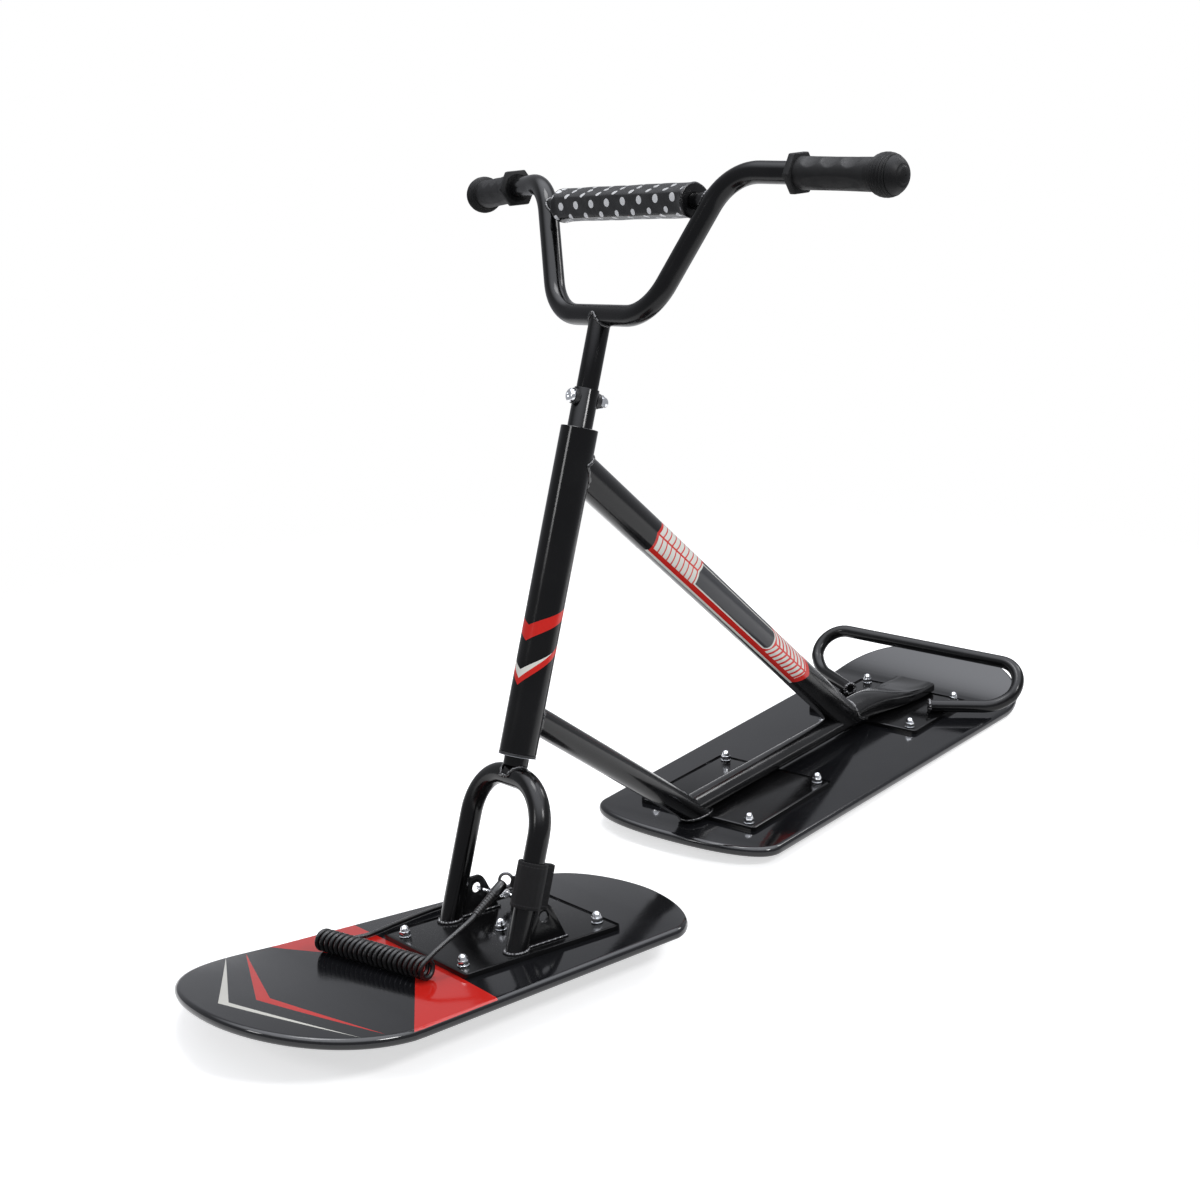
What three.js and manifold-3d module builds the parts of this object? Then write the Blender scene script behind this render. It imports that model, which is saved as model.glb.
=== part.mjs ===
// Snow scooter: a rear board to stand on, a raked steering head, and a short front board (ski)
// that turns with the handlebar. Millimetres; +X forward, +Y to the rider's left, +Z up.

import * as THREE from 'three';
import { mergeVertices } from 'three/addons/utils/BufferGeometryUtils.js';
import Module from 'manifold-3d';

const wasm = await Module();
wasm.setup();

// Attitude of the whole scooter
const rakeAngle = THREE.MathUtils.degToRad(19.3);
const steerAngle = THREE.MathUtils.degToRad(-21);
const seatGap = 0.3;
const cutOverrun = 4;

// Front board, measured from the point where the steering axis meets the ground
const skiThickness = 12;
const skiTipX = 311;
const skiTailX = -213;
const skiShoulderX = 161;
const skiHeelX = -157;
const skiShoulderHalfWidth = 154.5;
const skiHeelHalfWidth = 124.5;
const skiTipRise = 26.5;
const skiRiseStartX = 150;

// Rear board
const deckThickness = 12;
const deckNoseX = -337.5;
const deckTailX = -1031;
const deckNoseHalfWidth = 122;
const deckTailHalfWidth = 132;
const deckNoseCorner = 50;
const deckTailCorner = 98;
const deckNoseRise = 2.4;
const deckTailRise = 35;
const deckNoseRiseLength = 33;
const deckTailRiseLength = 98;

// Steel plates screwed on the boards
const plateThickness = 4;
const plateCorner = 5;
const skiPlateFrontX = 64;
const skiPlateLength = 183;
const skiPlateHalfWidth = 82;
const deckPlateHalfWidth = 78;
const frontPlateFrontX = -398;
const frontPlateLength = 174;
const rearPlateLength = 143;
const rearPlateTailGap = 9;
const plateHoleInset = 11;
const deckHoleInset = 14;
const skiHoleInsetX = 12.5;
const skiHoleInsetY = 24.5;
const skiPlateRearX = skiPlateFrontX - skiPlateLength;
const frontPlateRearX = frontPlateFrontX - frontPlateLength;
const rearPlateRearX = deckTailX + deckTailRiseLength + rearPlateTailGap;
const rearPlateFrontX = rearPlateRearX + rearPlateLength;

// M6 fasteners
const screwRadius = 3;
const screwClearance = 0.6;
const screwHeadRadius = 6;
const screwHeadHeight = 3;
const nutAcrossFlats = 10;
const nutHexHeight = 5;
const nutDomeHeight = 6;
const washerRadius = 6;
const washerThickness = 1.2;

// Tubes
const headTubeRadius = 19.05;
const headTubeWall = 2.5;
const steererRadius = 12.7;
const stemRadius = 11.1;
const stemClearance = 0.3;
const barRadius = 10.8;
const barWall = 1.8;
const crossbarRadius = 8;
const forkTubeRadius = 11.1;
const forkTubeWall = 2;
const topTubeRadius = 19.05;
const lowerTubeRadius = 14.3;
const frameTubeWall = 2;
const topTubeFootX = -742;
const lowerTubeFootX = -398;
const hoopRadius = 8;
const hoopWall = 1.5;

// Places along the steering axis, measured up it from the ground
const headTubeBottomV = 205;
const headTubeTopV = 537;
const crownV = 181;
const steererTopV = 577;
const stemBoltV = 567;
const stemFootV = 452;
const barLowV = 652;
const barHighV = 794;
const topTubeV = 500.5;
const lowerTubeV = 245.6;
const crossbarDrop = 27;
const crossbarV = barHighV - crossbarDrop;

// Handlebar, half of it: across and forward
const barLowHalf = 81;
const barHighHalf = 160;
const barEndHalf = 352;
const barHighForward = -6;
const barEndForward = -44;
const barBendRadius = 64;
const padRadius = 18.5;
const padLength = 230;
const padLengthShares = [0, 0.012, 0.04, 0.2, 0.8, 0.96, 0.988, 1];
const padCrownShares = [0.72, 0.88, 0.96, 1, 1, 0.96, 0.88, 0.72];

// Grips
const gripLength = 112;
const gripBodyRadius = 15.6;
const gripWaistRadius = 14.2;
const gripFlangeRadius = 21.5;
const gripFlangeThickness = 7;
const gripBallRadius = 20.4;
const gripBallInset = 8.5;
const gripEndHole = 2.5;
const gripWaves = 3;
const gripWaveSteps = 12;
const gripBallSteps = 7;
const gripStartHalf = barEndHalf - gripLength;
const gripBallHalf = barEndHalf - gripBallInset;

// Fork and gussets
const forkHalfSpacing = 64;
const forkBendRadius = 50;
const gussetThickness = 4;
const gussetEyeRadius = 5.5;
const gussetEyeX = -40;
const gussetEyeZ = 43;
const gussetTopZ = 56;
const gussetBaseX = -64;
const gussetCrestX = -48;
const gussetShoulderX = -52;
const gussetShoulderZ = 46;

// Beam and hoop on the rear board
const beamRadius = 12.7;
const beamFrontX = -385;
const beamStepX = -735;
const beamBoreX = -796;
const beamOverhang = 2;
const beamRearX = rearPlateRearX - beamOverhang;
const beamRearRadius = 18.5;
const beamEndHalfWidth = 29;
const beamEndHalfHeight = 7;
const beamEndPower = 5;
const beamRoundShare = 0.15;
const beamFlatShare = 0.86;
const beamFlatSteps = 10;
const hoopRootInset = 68;
const hoopRootX = rearPlateRearX + hoopRootInset;
const hoopRootHalf = 58;
const hoopLowRun = 49;
const hoopLowX = hoopRootX - hoopLowRun;
const hoopLowHalf = 134;
const hoopHighRun = 43;
const hoopHighX = hoopLowX - hoopHighRun;
const hoopHighHalf = 167;
const hoopHighRise = 45;
const hoopLowBend = 58;
const hoopHighBend = 32;

// Head bearing pieces
const bushFlange = 2;
const bushLength = 26;
const bushRecess = 5;
const raceThickness = 2.5;
const ringThickness = 1.2;
const ringGroove = 0.7;

// Stem bolt
const stemBoltRadius = 4;
const stemBoltHeadRadius = 7;
const stemBoltHeadHeight = 5;
const stemNutAcrossFlats = 13;
const stemNutHexHeight = 5;
const stemNutDomeHeight = 6;
const saddleRadius = 8;
const saddleThickness = 3;
const boltCrownShare = 0.6;

// Leash: cuff, ring, moulded cord ends, cord and coil
const cuffBottomV = 61;
const cuffTopV = 107;
const cuffThickness = 4;
const cuffFlagLength = 24;
const cuffFlagThickness = 8;
const cuffTabReach = 3.4;
const cuffTabHalfWidth = 2.9;
const cuffTabHalfHeight = 5.5;
const ringWireRadius = 1.5;
const ringRadius = 6.5;
const ringTurn = THREE.MathUtils.degToRad(42);
const mouldingLength = 44;
const mouldingEndLength = 16;
const mouldingHeadRadius = 5.5;
const mouldingNeckRadius = 3.6;
const mouldingSkin = 2;
const mouldingLengthShares = [0, 0, 0.14, 0.34, 1, 1];
const mouldingWidthShares = [0, 0.7, 1, 1, 0, 0];
const cordRadius = 2.5;
const coilRadius = 9.4;
const coilCurls = 21;
const curlSteps = 8;
const curlSides = 5;
const coilStartTurn = THREE.MathUtils.degToRad(-60);
const coilEndTurn = THREE.MathUtils.degToRad(90);
const coilNearX = 90;
const coilNearY = 58;
const coilFarX = 124;
const coilFarY = -97;

// The cord's own route on the front board: headings of its moulded ends and the points between
const upperHeading = new THREE.Vector3(0.863, 0.106, -0.493).normalize();
const lowerHeading = new THREE.Vector3(-0.912, -0.39, -0.12).normalize();
const lowerRoute = [
  [100, -101, 14.8], [73, -96, 14.8], [33, -104, 14.8], [-20, -112, 14.8], [-62, -109, 14.8],
  [-88, -102, 15.2], [-104, -92, 17.6], [-108, -81, 20.6],
];

// Snap hook
const hookDrop = THREE.MathUtils.degToRad(25);
const hookWireRadius = 2;
const hookLength = 31;
const hookShoulder = 5;
const hookNose = 5;
const hookBend = 3;
const hookRearBend = 2.5;
const hookBarrelRadius = 4.5;
const hookBarrelLength = 7;
const hookBarrelWall = 2;
const hookEarRadius = 3;
const hookEarHalfHeight = 2.8;
const swivelPinRadius = 1.5;
const swivelHeadRadius = 3;
const swivelHeadHeight = 1.6;
const swivelRingRadius = 4.4;
const swivelWireRadius = 1.3;
const gateOffset = 11;
const gateRadius = 1.3;
const gateEyeRadius = 2.2;
const gatePinRadius = 0.8;

// Finishes
const finishes = {
  blackPaint: { color: 0x17181a, roughness: 0.28, metalness: 0.1 },
  boardSheet: { color: 0x2b2c30, roughness: 0.15, metalness: 0.0 },
  rubber: { color: 0x1b1b1c, roughness: 0.75, metalness: 0.0 },
  zinc: { color: 0xd8dadd, roughness: 0.22, metalness: 1.0 },
  nylon: { color: 0x222326, roughness: 0.5, metalness: 0.0 },
  fabric: { color: 0x151517, roughness: 0.9, metalness: 0.0 },
};

// Facets round each kind of piece
const wideFacets = 9;
const tubeFacets = 7;
const smallFacets = 5;
const screwFacets = 4;
const domeSteps = 3;
const bendSteps = 4;

const fullTurn = 2 * Math.PI;
const up = new THREE.Vector3(0, 0, 1);

// Turns a geometry into one closed body with shared corners and its faces outward
function closed(geometry) {
  const bare = geometry.clone();
  bare.deleteAttribute('normal');
  bare.deleteAttribute('uv');
  const merged = mergeVertices(bare);
  const place = merged.attributes.position;
  const corners = [new THREE.Vector3(), new THREE.Vector3(), new THREE.Vector3()];
  const kept = [];
  let volume = 0;
  for (let first = 0; first < merged.index.count; first += 3) {
    const [a, b, c] = [0, 1, 2].map((k) => merged.index.getX(first + k));
    if (a === b || b === c || c === a) continue;
    [a, b, c].forEach((index, k) => corners[k].fromBufferAttribute(place, index));
    volume += corners[0].dot(corners[1].cross(corners[2]));
    kept.push([a, b, c]);
  }
  merged.setIndex(kept.flatMap(([a, b, c]) => (volume < 0 ? [a, c, b] : [a, b, c])));
  return merged;
}

function toSolid(geometry) {
  const body = closed(geometry);
  return new wasm.Manifold(new wasm.Mesh({
    numProp: 3,
    vertProperties: new Float32Array(body.attributes.position.array),
    triVerts: new Uint32Array(body.index.array),
  }));
}

function toGeometry(solid) {
  const mesh = solid.getMesh();
  const geometry = new THREE.BufferGeometry();
  geometry.setAttribute('position', new THREE.BufferAttribute(mesh.vertProperties, 3));
  geometry.setIndex(new THREE.BufferAttribute(mesh.triVerts, 1));
  return geometry;
}

function cut(geometry, ...cutters) {
  return toGeometry(cutters.reduce((left, cutter) => left.subtract(toSolid(cutter)), toSolid(geometry)));
}

function join(geometry, ...others) {
  return toGeometry(others.reduce((whole, other) => whole.add(toSolid(other)), toSolid(geometry)));
}

// A disc, or a ring when it has a bore
function discShape(radius, bore = 0) {
  const shape = new THREE.Shape();
  shape.absarc(0, 0, radius, 0, fullTurn, false);
  if (bore > 0) {
    const hole = new THREE.Path();
    hole.absarc(0, 0, bore, 0, fullTurn, true);
    shape.holes.push(hole);
  }
  return shape;
}

function polygonShape(radius, sides) {
  const corners = [];
  for (let side = 0; side < sides; side += 1) {
    const angle = fullTurn * side / sides;
    corners.push(new THREE.Vector2(radius * Math.cos(angle), radius * Math.sin(angle)));
  }
  return new THREE.Shape(corners);
}

function extruded(shape, depth, facets) {
  return new THREE.ExtrudeGeometry(shape, { depth, bevelEnabled: false, curveSegments: facets, steps: 1 });
}

// Lays a geometry made along +Z onto a line
function laid(geometry, from, direction) {
  const turn = new THREE.Quaternion().setFromUnitVectors(up, direction.clone().normalize());
  return geometry.clone().applyQuaternion(turn).translate(from.x, from.y, from.z);
}

function rod(from, to, radius, bore = 0, facets = tubeFacets) {
  const run = to.clone().sub(from);
  return laid(extruded(discShape(radius, bore), run.length(), facets), from, run);
}

// A body turned about Z from a profile of [radius, height] pairs
function turned(profile, facets) {
  const points = profile.map(([radius, height]) => new THREE.Vector2(radius, height));
  return new THREE.LatheGeometry(points, 2 * facets).rotateX(Math.PI / 2);
}

// A turned ring: its profile closes on itself
function turnedRing(outer, inner, bottom, top, facets) {
  return turned([[inner, bottom], [outer, bottom], [outer, top], [inner, top], [inner, bottom]], facets);
}

function block(low, high) {
  const size = high.clone().sub(low);
  const middle = low.clone().add(high).divideScalar(2);
  return new THREE.BoxGeometry(size.x, size.y, size.z).translate(middle.x, middle.y, middle.z);
}

const at = (x, y, z) => new THREE.Vector3(x, y, z);

// A curve known at stations, one for each step of the tube that follows it
class StationPath extends THREE.Curve {
  constructor(places = [], headings = []) {
    super();
    this.places = places;
    this.headings = headings;
  }

  get steps() {
    return this.places.length - 1;
  }

  getPoint(t) {
    const along = t * this.steps;
    const index = Math.min(Math.floor(along), this.steps - 1);
    return this.places[index].clone().lerp(this.places[index + 1], along - index);
  }

  getPointAt(t) {
    return this.getPoint(t);
  }

  getTangentAt(t) {
    return this.headings[Math.round(t * this.steps)].clone();
  }
}

// Straights joined by round bends
class BentPath extends StationPath {
  constructor(corners, radii) {
    super();
    this.places.push(corners[0].clone());
    this.headings.push(corners[1].clone().sub(corners[0]).normalize());
    for (let i = 1; i < corners.length - 1; i += 1) {
      this.addBend(corners[i - 1], corners[i], corners[i + 1], radii[i - 1]);
    }
    const last = corners.length - 1;
    this.places.push(corners[last].clone());
    this.headings.push(corners[last].clone().sub(corners[last - 1]).normalize());
  }

  addBend(before, corner, after, radius) {
    const inward = corner.clone().sub(before).normalize();
    const outward = after.clone().sub(corner).normalize();
    const turn = inward.angleTo(outward);
    const axis = inward.clone().cross(outward).normalize();
    const start = corner.clone().addScaledVector(inward, -radius * Math.tan(turn / 2));
    const spoke = inward.clone().cross(axis).multiplyScalar(radius);
    for (let step = 0; step <= bendSteps; step += 1) {
      const angle = turn * step / bendSteps;
      this.places.push(start.clone().sub(spoke).add(spoke.clone().applyAxisAngle(axis, angle)));
      this.headings.push(inward.clone().applyAxisAngle(axis, angle));
    }
  }
}

function bentTube(path, radius, bore, facets) {
  const shape = discShape(radius, bore);
  return new THREE.ExtrudeGeometry(shape, { steps: path.steps, extrudePath: path, curveSegments: facets });
}

// Each finish is a fresh material, so that every mesh keeps its own
function add(parent, name, geometry, finish) {
  const mesh = new THREE.Mesh(closed(geometry), new THREE.MeshStandardMaterial(finishes[finish]));
  mesh.name = name;
  parent.add(mesh);
  return mesh;
}

// The frame of the whole scooter, and the frames that hang from it
const scooter = new THREE.Group();
const raked = new THREE.Group();
const steered = new THREE.Group();
const onSki = new THREE.Group();
raked.rotation.y = -rakeAngle;
steered.rotation.z = steerAngle;
onSki.rotation.y = rakeAngle;
scooter.add(raked);
raked.add(steered);
steered.add(onSki);

// From steering-axis coordinates (forward, left, up the axis) to level ones
function levelled(geometry) {
  return geometry.clone().rotateY(-rakeAngle);
}

function axisPoint(forward, left, along) {
  return at(forward, left, along).applyAxisAngle(at(0, 1, 0), -rakeAngle);
}

// Boards: a plan with rounded ends, a bullnose edge and risen tips
const endSteps = 8;
const sideSteps = 6;
const edgeSteps = 4;
const skiTipPower = 2.15;
const skiTailPower = 1.85;
const deckNosePower = 2.2;
const deckTailPower = 2.45;
const skiRisePower = 1.6;
const deckRisePower = 1.7;

// One end of a plan, from its tip to its shoulder, as a superellipse
function planEnd(tipX, shoulderX, halfWidth, power) {
  const points = [];
  for (let step = 0; step <= endSteps; step += 1) {
    const angle = Math.PI / 2 * step / endSteps;
    const reach = Math.cos(angle) ** (2 / power);
    const spread = Math.sin(angle) ** (2 / power);
    points.push(new THREE.Vector2(shoulderX + (tipX - shoulderX) * reach, halfWidth * spread));
  }
  return points;
}

function planSide(tail, nose) {
  const side = [...tail];
  const from = tail[endSteps];
  const to = nose[endSteps];
  for (let step = 1; step < sideSteps; step += 1) {
    side.push(from.clone().lerp(to, step / sideSteps));
  }
  return side.concat(nose.slice().reverse());
}

function board(tail, nose, thickness, underside) {
  const side = planSide(tail, nose);
  const edge = thickness / 2;
  const last = side.length - 1;
  const normals = side.map((point, i) => {
    const run = side[Math.min(i + 1, last)].clone().sub(side[Math.max(i - 1, 0)]).normalize();
    return new THREE.Vector2(-run.y, run.x);
  });
  normals[0].set(-1, 0);
  normals[last].set(1, 0);
  const rings = [];
  for (let step = 0; step <= edgeSteps; step += 1) {
    const angle = Math.PI * (step / edgeSteps - 1 / 2);
    const inset = edge - edge * Math.cos(angle);
    const height = edge + edge * Math.sin(angle);
    const place = (i, sign) => at(
      side[i].x - inset * normals[i].x,
      sign * Math.max(side[i].y - inset * normals[i].y, 0),
      underside(side[i].x) + height,
    );
    const left = side.map((point, i) => place(i, 1));
    const right = side.map((point, i) => place(i, -1));
    rings.push({ left, right });
  }
  const corners = [];
  const quad = (a, b, c, d) => corners.push(a, b, c, a, c, d);
  for (let i = 0; i < last; i += 1) {
    const [bottom, top] = [rings[0], rings[edgeSteps]];
    quad(bottom.left[i], bottom.left[i + 1], bottom.right[i + 1], bottom.right[i]);
    quad(top.left[i], top.right[i], top.right[i + 1], top.left[i + 1]);
    for (let step = 0; step < edgeSteps; step += 1) {
      const [low, high] = [rings[step], rings[step + 1]];
      quad(low.left[i], high.left[i], high.left[i + 1], low.left[i + 1]);
      quad(low.right[i], low.right[i + 1], high.right[i + 1], high.right[i]);
    }
  }
  return new THREE.BufferGeometry().setFromPoints(corners);
}

const rise = (along, height, power) => (along > 0 ? height * along ** power : 0);

// Screw places on the plates
function platePlaces(frontX, rearX, halfWidth, insetX, insetY) {
  const places = [];
  for (const x of [frontX - insetX, rearX + insetX]) {
    for (const y of [halfWidth - insetY, insetY - halfWidth]) places.push([x, y]);
  }
  return places;
}

const skiPlaces = platePlaces(
  skiPlateFrontX, skiPlateRearX, skiPlateHalfWidth, skiHoleInsetX, skiHoleInsetY,
);
skiPlaces.push([(skiPlateFrontX + skiPlateRearX) / 2, 0]);
const frontPlaces = platePlaces(
  frontPlateFrontX, frontPlateRearX, deckPlateHalfWidth, plateHoleInset, deckHoleInset,
);
const rearPlaces = platePlaces(
  rearPlateFrontX, rearPlateRearX, deckPlateHalfWidth, plateHoleInset, deckHoleInset,
);
const deckPlaces = frontPlaces.concat(rearPlaces);

// Heights of what is stacked on a board
function stack(thickness) {
  const plateBottom = thickness + seatGap;
  const plateTop = plateBottom + plateThickness;
  const washerBottom = plateTop + seatGap;
  const nutBottom = washerBottom + washerThickness;
  return { plateBottom, plateTop, washerBottom, nutBottom };
}

const skiStack = stack(skiThickness);
const deckStack = stack(deckThickness);

// The hole of one screw: its shank's bore and the sinking of its head
function screwHole(top) {
  const bore = screwRadius + screwClearance;
  const sink = screwHeadRadius + screwClearance;
  const sunk = screwHeadHeight + screwClearance;
  return turned([
    [0, -cutOverrun], [sink, -cutOverrun], [sink, sunk], [bore, sunk], [bore, top], [0, top],
  ], screwFacets);
}

// A domed nut: a hexagon with a cap
function acornNut(acrossFlats, hexHeight, domeHeight) {
  const hexagon = extruded(polygonShape(acrossFlats / Math.sqrt(3), 6), hexHeight, 1);
  const domeRadius = acrossFlats / 2;
  const domeProfile = [[0, 0]];
  for (let step = 0; step < domeSteps; step += 1) {
    const angle = Math.PI / 2 * step / domeSteps;
    domeProfile.push([domeRadius * Math.cos(angle), hexHeight + domeHeight * Math.sin(angle)]);
  }
  domeProfile.splice(1, 0, [domeRadius, 0]);
  domeProfile.push([0, hexHeight + domeHeight]);
  return join(hexagon, turned(domeProfile, screwFacets));
}

// One fastener, drawn tight: a screw with its head sunk in the underside, a washer and a domed nut
function fastener(heights) {
  const { washerBottom, nutBottom } = heights;
  const shank = turned([
    [0, 0], [screwHeadRadius, 0], [screwHeadRadius, screwHeadHeight], [screwRadius, screwHeadHeight],
    [screwRadius, washerBottom], [washerRadius, washerBottom], [washerRadius, nutBottom],
    [screwRadius, nutBottom], [screwRadius, nutBottom + nutHexHeight], [0, nutBottom + nutHexHeight],
  ], screwFacets);
  const nut = acornNut(nutAcrossFlats, nutHexHeight, nutDomeHeight).translate(0, 0, nutBottom);
  return join(shank, nut);
}

function fasteners(parent, prefix, places, heights) {
  const one = fastener(heights);
  places.forEach(([x, y], i) => add(parent, `${prefix}_screw_${i + 1}`, one.clone().translate(x, y, 0), 'zinc'));
}

// A steel plate with rounded corners and its screw holes
function plate(frontX, rearX, halfWidth, heights, places) {
  const r = plateCorner;
  const shape = new THREE.Shape();
  shape.moveTo(rearX + r, -halfWidth);
  shape.lineTo(frontX - r, -halfWidth);
  shape.absarc(frontX - r, r - halfWidth, r, -Math.PI / 2, 0, false);
  shape.absarc(frontX - r, halfWidth - r, r, 0, Math.PI / 2, false);
  shape.absarc(rearX + r, halfWidth - r, r, Math.PI / 2, Math.PI, false);
  shape.absarc(rearX + r, r - halfWidth, r, Math.PI, Math.PI * 3 / 2, false);
  const sheet = extruded(shape, plateThickness, 2).translate(0, 0, heights.plateBottom);
  const holes = places.map(([x, y]) => screwHole(heights.plateTop + cutOverrun).translate(x, y, 0));
  return cut(sheet, ...holes);
}

function makeSki() {
  const rest = skiTipX - skiRiseStartX;
  const underside = (x) => rise((x - skiRiseStartX) / rest, skiTipRise, skiRisePower);
  const nose = planEnd(skiTipX, skiShoulderX, skiShoulderHalfWidth, skiTipPower);
  const tail = planEnd(skiTailX, skiHeelX, skiHeelHalfWidth, skiTailPower);
  const holes = skiPlaces.map(([x, y]) => screwHole(skiThickness + cutOverrun).translate(x, y, 0));
  add(onSki, 'front_ski', cut(board(tail, nose, skiThickness, underside), ...holes), 'boardSheet');
  const sheet = plate(skiPlateFrontX, skiPlateRearX, skiPlateHalfWidth, skiStack, skiPlaces);
  add(onSki, 'ski_base_plate', sheet, 'blackPaint');
  fasteners(onSki, 'ski', skiPlaces, skiStack);
}

function makeDeck() {
  const underside = (x) => (
    rise((x - deckNoseX + deckNoseRiseLength) / deckNoseRiseLength, deckNoseRise, deckRisePower)
    + rise((deckTailX + deckTailRiseLength - x) / deckTailRiseLength, deckTailRise, deckRisePower)
  );
  const nose = planEnd(deckNoseX, deckNoseX - deckNoseCorner, deckNoseHalfWidth, deckNosePower);
  const tail = planEnd(deckTailX, deckTailX + deckTailCorner, deckTailHalfWidth, deckTailPower);
  const holes = deckPlaces.map(([x, y]) => screwHole(deckThickness + cutOverrun).translate(x, y, 0));
  add(scooter, 'rear_board', cut(board(tail, nose, deckThickness, underside), ...holes), 'boardSheet');
  const front = plate(frontPlateFrontX, frontPlateRearX, deckPlateHalfWidth, deckStack, frontPlaces);
  const rear = plate(rearPlateFrontX, rearPlateRearX, deckPlateHalfWidth, deckStack, rearPlaces);
  add(scooter, 'front_base_plate', front, 'blackPaint');
  add(scooter, 'rear_base_plate', rear, 'blackPaint');
  fasteners(scooter, 'deck', deckPlaces, deckStack);
}

// The beam lies along the rear board, on both base plates: a round tube with a wider one welded on
// behind the top tube's foot, which is pressed flat towards its rear end
const beamBottomZ = deckStack.plateTop + seatGap;
const beamMiddleZ = beamBottomZ + beamRadius;

// The wider tube's sections, each [x, half width, half height, middle height, power]; the power of
// 2 is round and a higher one is flatter on top and below
function flattenedSections(wall) {
  const sections = [];
  for (let step = 0; step <= beamFlatSteps; step += 1) {
    const share = step / beamFlatSteps;
    const eased = THREE.MathUtils.smoothstep(share, beamRoundShare, beamFlatShare);
    const tall = THREE.MathUtils.lerp(beamRearRadius, beamEndHalfHeight, eased);
    sections.push([
      THREE.MathUtils.lerp(beamStepX, beamRearX, share),
      THREE.MathUtils.lerp(beamRearRadius, beamEndHalfWidth, eased) - wall,
      tall - wall,
      beamBottomZ + tall,
      THREE.MathUtils.lerp(2, beamEndPower, eased),
    ]);
  }
  return sections;
}

// A closed body along X through such sections
function ovalRun(sections) {
  const sides = 2 * wideFacets;
  const corners = [];
  const curved = (value, power) => Math.sign(value) * Math.abs(value) ** (2 / power);
  const ring = ([x, wide, tall, middle, power]) => Array.from({ length: sides }, (unused, i) => at(
    x,
    wide * curved(Math.cos(fullTurn * i / sides), power),
    middle + tall * curved(Math.sin(fullTurn * i / sides), power),
  ));
  const rings = sections.map(ring);
  for (let i = 0; i < sides; i += 1) {
    const next = (i + 1) % sides;
    for (let k = 0; k < rings.length - 1; k += 1) {
      const [near, far] = [rings[k], rings[k + 1]];
      corners.push(near[i], far[next], near[next], near[i], far[i], far[next]);
    }
    const [first, last] = [rings[0], rings[rings.length - 1]];
    corners.push(at(sections[0][0], 0, sections[0][3]), first[i], first[next]);
    const end = sections[sections.length - 1];
    corners.push(at(end[0], 0, end[3]), last[next], last[i]);
  }
  return new THREE.BufferGeometry().setFromPoints(corners);
}

function lowerTubeRod(radius, bore) {
  const start = axisPoint(0, 0, lowerTubeV);
  const foot = at(lowerTubeFootX, 0, beamBottomZ);
  const past = foot.clone().add(foot.clone().sub(start).setLength(headTubeRadius * 2));
  return rod(start, past, radius, bore);
}

function topTubeRod(radius, bore) {
  const start = axisPoint(0, 0, topTubeV);
  const foot = at(topTubeFootX, 0, beamMiddleZ);
  const past = foot.clone().add(foot.clone().sub(start).setLength(headTubeRadius * 3));
  return rod(start, past, radius, bore, wideFacets);
}

function belowBeam(height) {
  const wide = headTubeRadius * 3;
  return block(at(deckTailX, -wide, -wide), at(0, wide, height));
}

// The thin tube reaches through the top tube's foot into the wide tube
function thinTube(radius) {
  return rod(at(beamFrontX, 0, beamMiddleZ), at(beamBoreX, 0, beamMiddleZ), radius, 0, wideFacets);
}

function makeBeam() {
  const reach = headTubeRadius * 3;
  const footSpace = cut(topTubeRod(topTubeRadius + seatGap, 0), thinTube(beamRadius));
  const solidFront = block(at(beamBoreX, -reach, -reach), at(0, reach, reach));
  const inside = cut(ovalRun(flattenedSections(frameTubeWall)), solidFront);
  inside.translate(-frameTubeWall, 0, 0);
  const thinBore = rod(
    at(beamFrontX + cutOverrun, 0, beamMiddleZ), at(beamBoreX + frameTubeWall, 0, beamMiddleZ),
    beamRadius - frameTubeWall, 0, wideFacets,
  );
  const whole = join(cut(ovalRun(flattenedSections(0)), footSpace), thinTube(beamRadius));
  const bar = cut(whole, inside, thinBore, lowerTubeRod(lowerTubeRadius + seatGap, 0));
  add(scooter, 'beam', bar, 'blackPaint');
}

// Head tube and the frame tubes coped to it
function headCutter() {
  const reach = headTubeWall + headTubeRadius;
  return levelled(rod(
    at(0, 0, headTubeBottomV - reach), at(0, 0, headTubeTopV + reach), headTubeRadius + seatGap, 0, wideFacets,
  ));
}

function makeFrame() {
  const bore = headTubeRadius - headTubeWall;
  const head = rod(at(0, 0, headTubeBottomV), at(0, 0, headTubeTopV), headTubeRadius, bore, wideFacets);
  add(raked, 'head_tube', head, 'blackPaint');

  const top = cut(
    topTubeRod(topTubeRadius, topTubeRadius - frameTubeWall), headCutter(), belowBeam(beamMiddleZ),
    thinTube(beamRadius + seatGap),
  );
  add(scooter, 'top_tube', top, 'blackPaint');

  const lower = cut(
    lowerTubeRod(lowerTubeRadius, lowerTubeRadius - frameTubeWall), headCutter(), belowBeam(beamBottomZ),
  );
  add(scooter, 'lower_tube', lower, 'blackPaint');
}

// Tail hoop: its ends are welded to the rear base plate, beside the beam
function makeHoop() {
  const rootZ = deckStack.plateTop + seatGap + hoopRadius;
  const side = (half) => [
    at(hoopRootX, Math.sign(half) * hoopRootHalf, rootZ),
    at(hoopLowX, Math.sign(half) * hoopLowHalf, rootZ),
    at(hoopHighX, Math.sign(half) * hoopHighHalf, rootZ + hoopHighRise),
  ];
  const path = new BentPath(
    [...side(1), ...side(-1).reverse()], [hoopLowBend, hoopHighBend, hoopHighBend, hoopLowBend],
  );
  add(scooter, 'tail_hoop', bentTube(path, hoopRadius, hoopRadius - hoopWall, smallFacets), 'blackPaint');
}

// Head bearing: two bushes, the race under the head tube and the ring that keeps the fork in
const bushInner = steererRadius + stemClearance;
const ringBottomV = headTubeTopV - bushRecess + seatGap;

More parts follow.
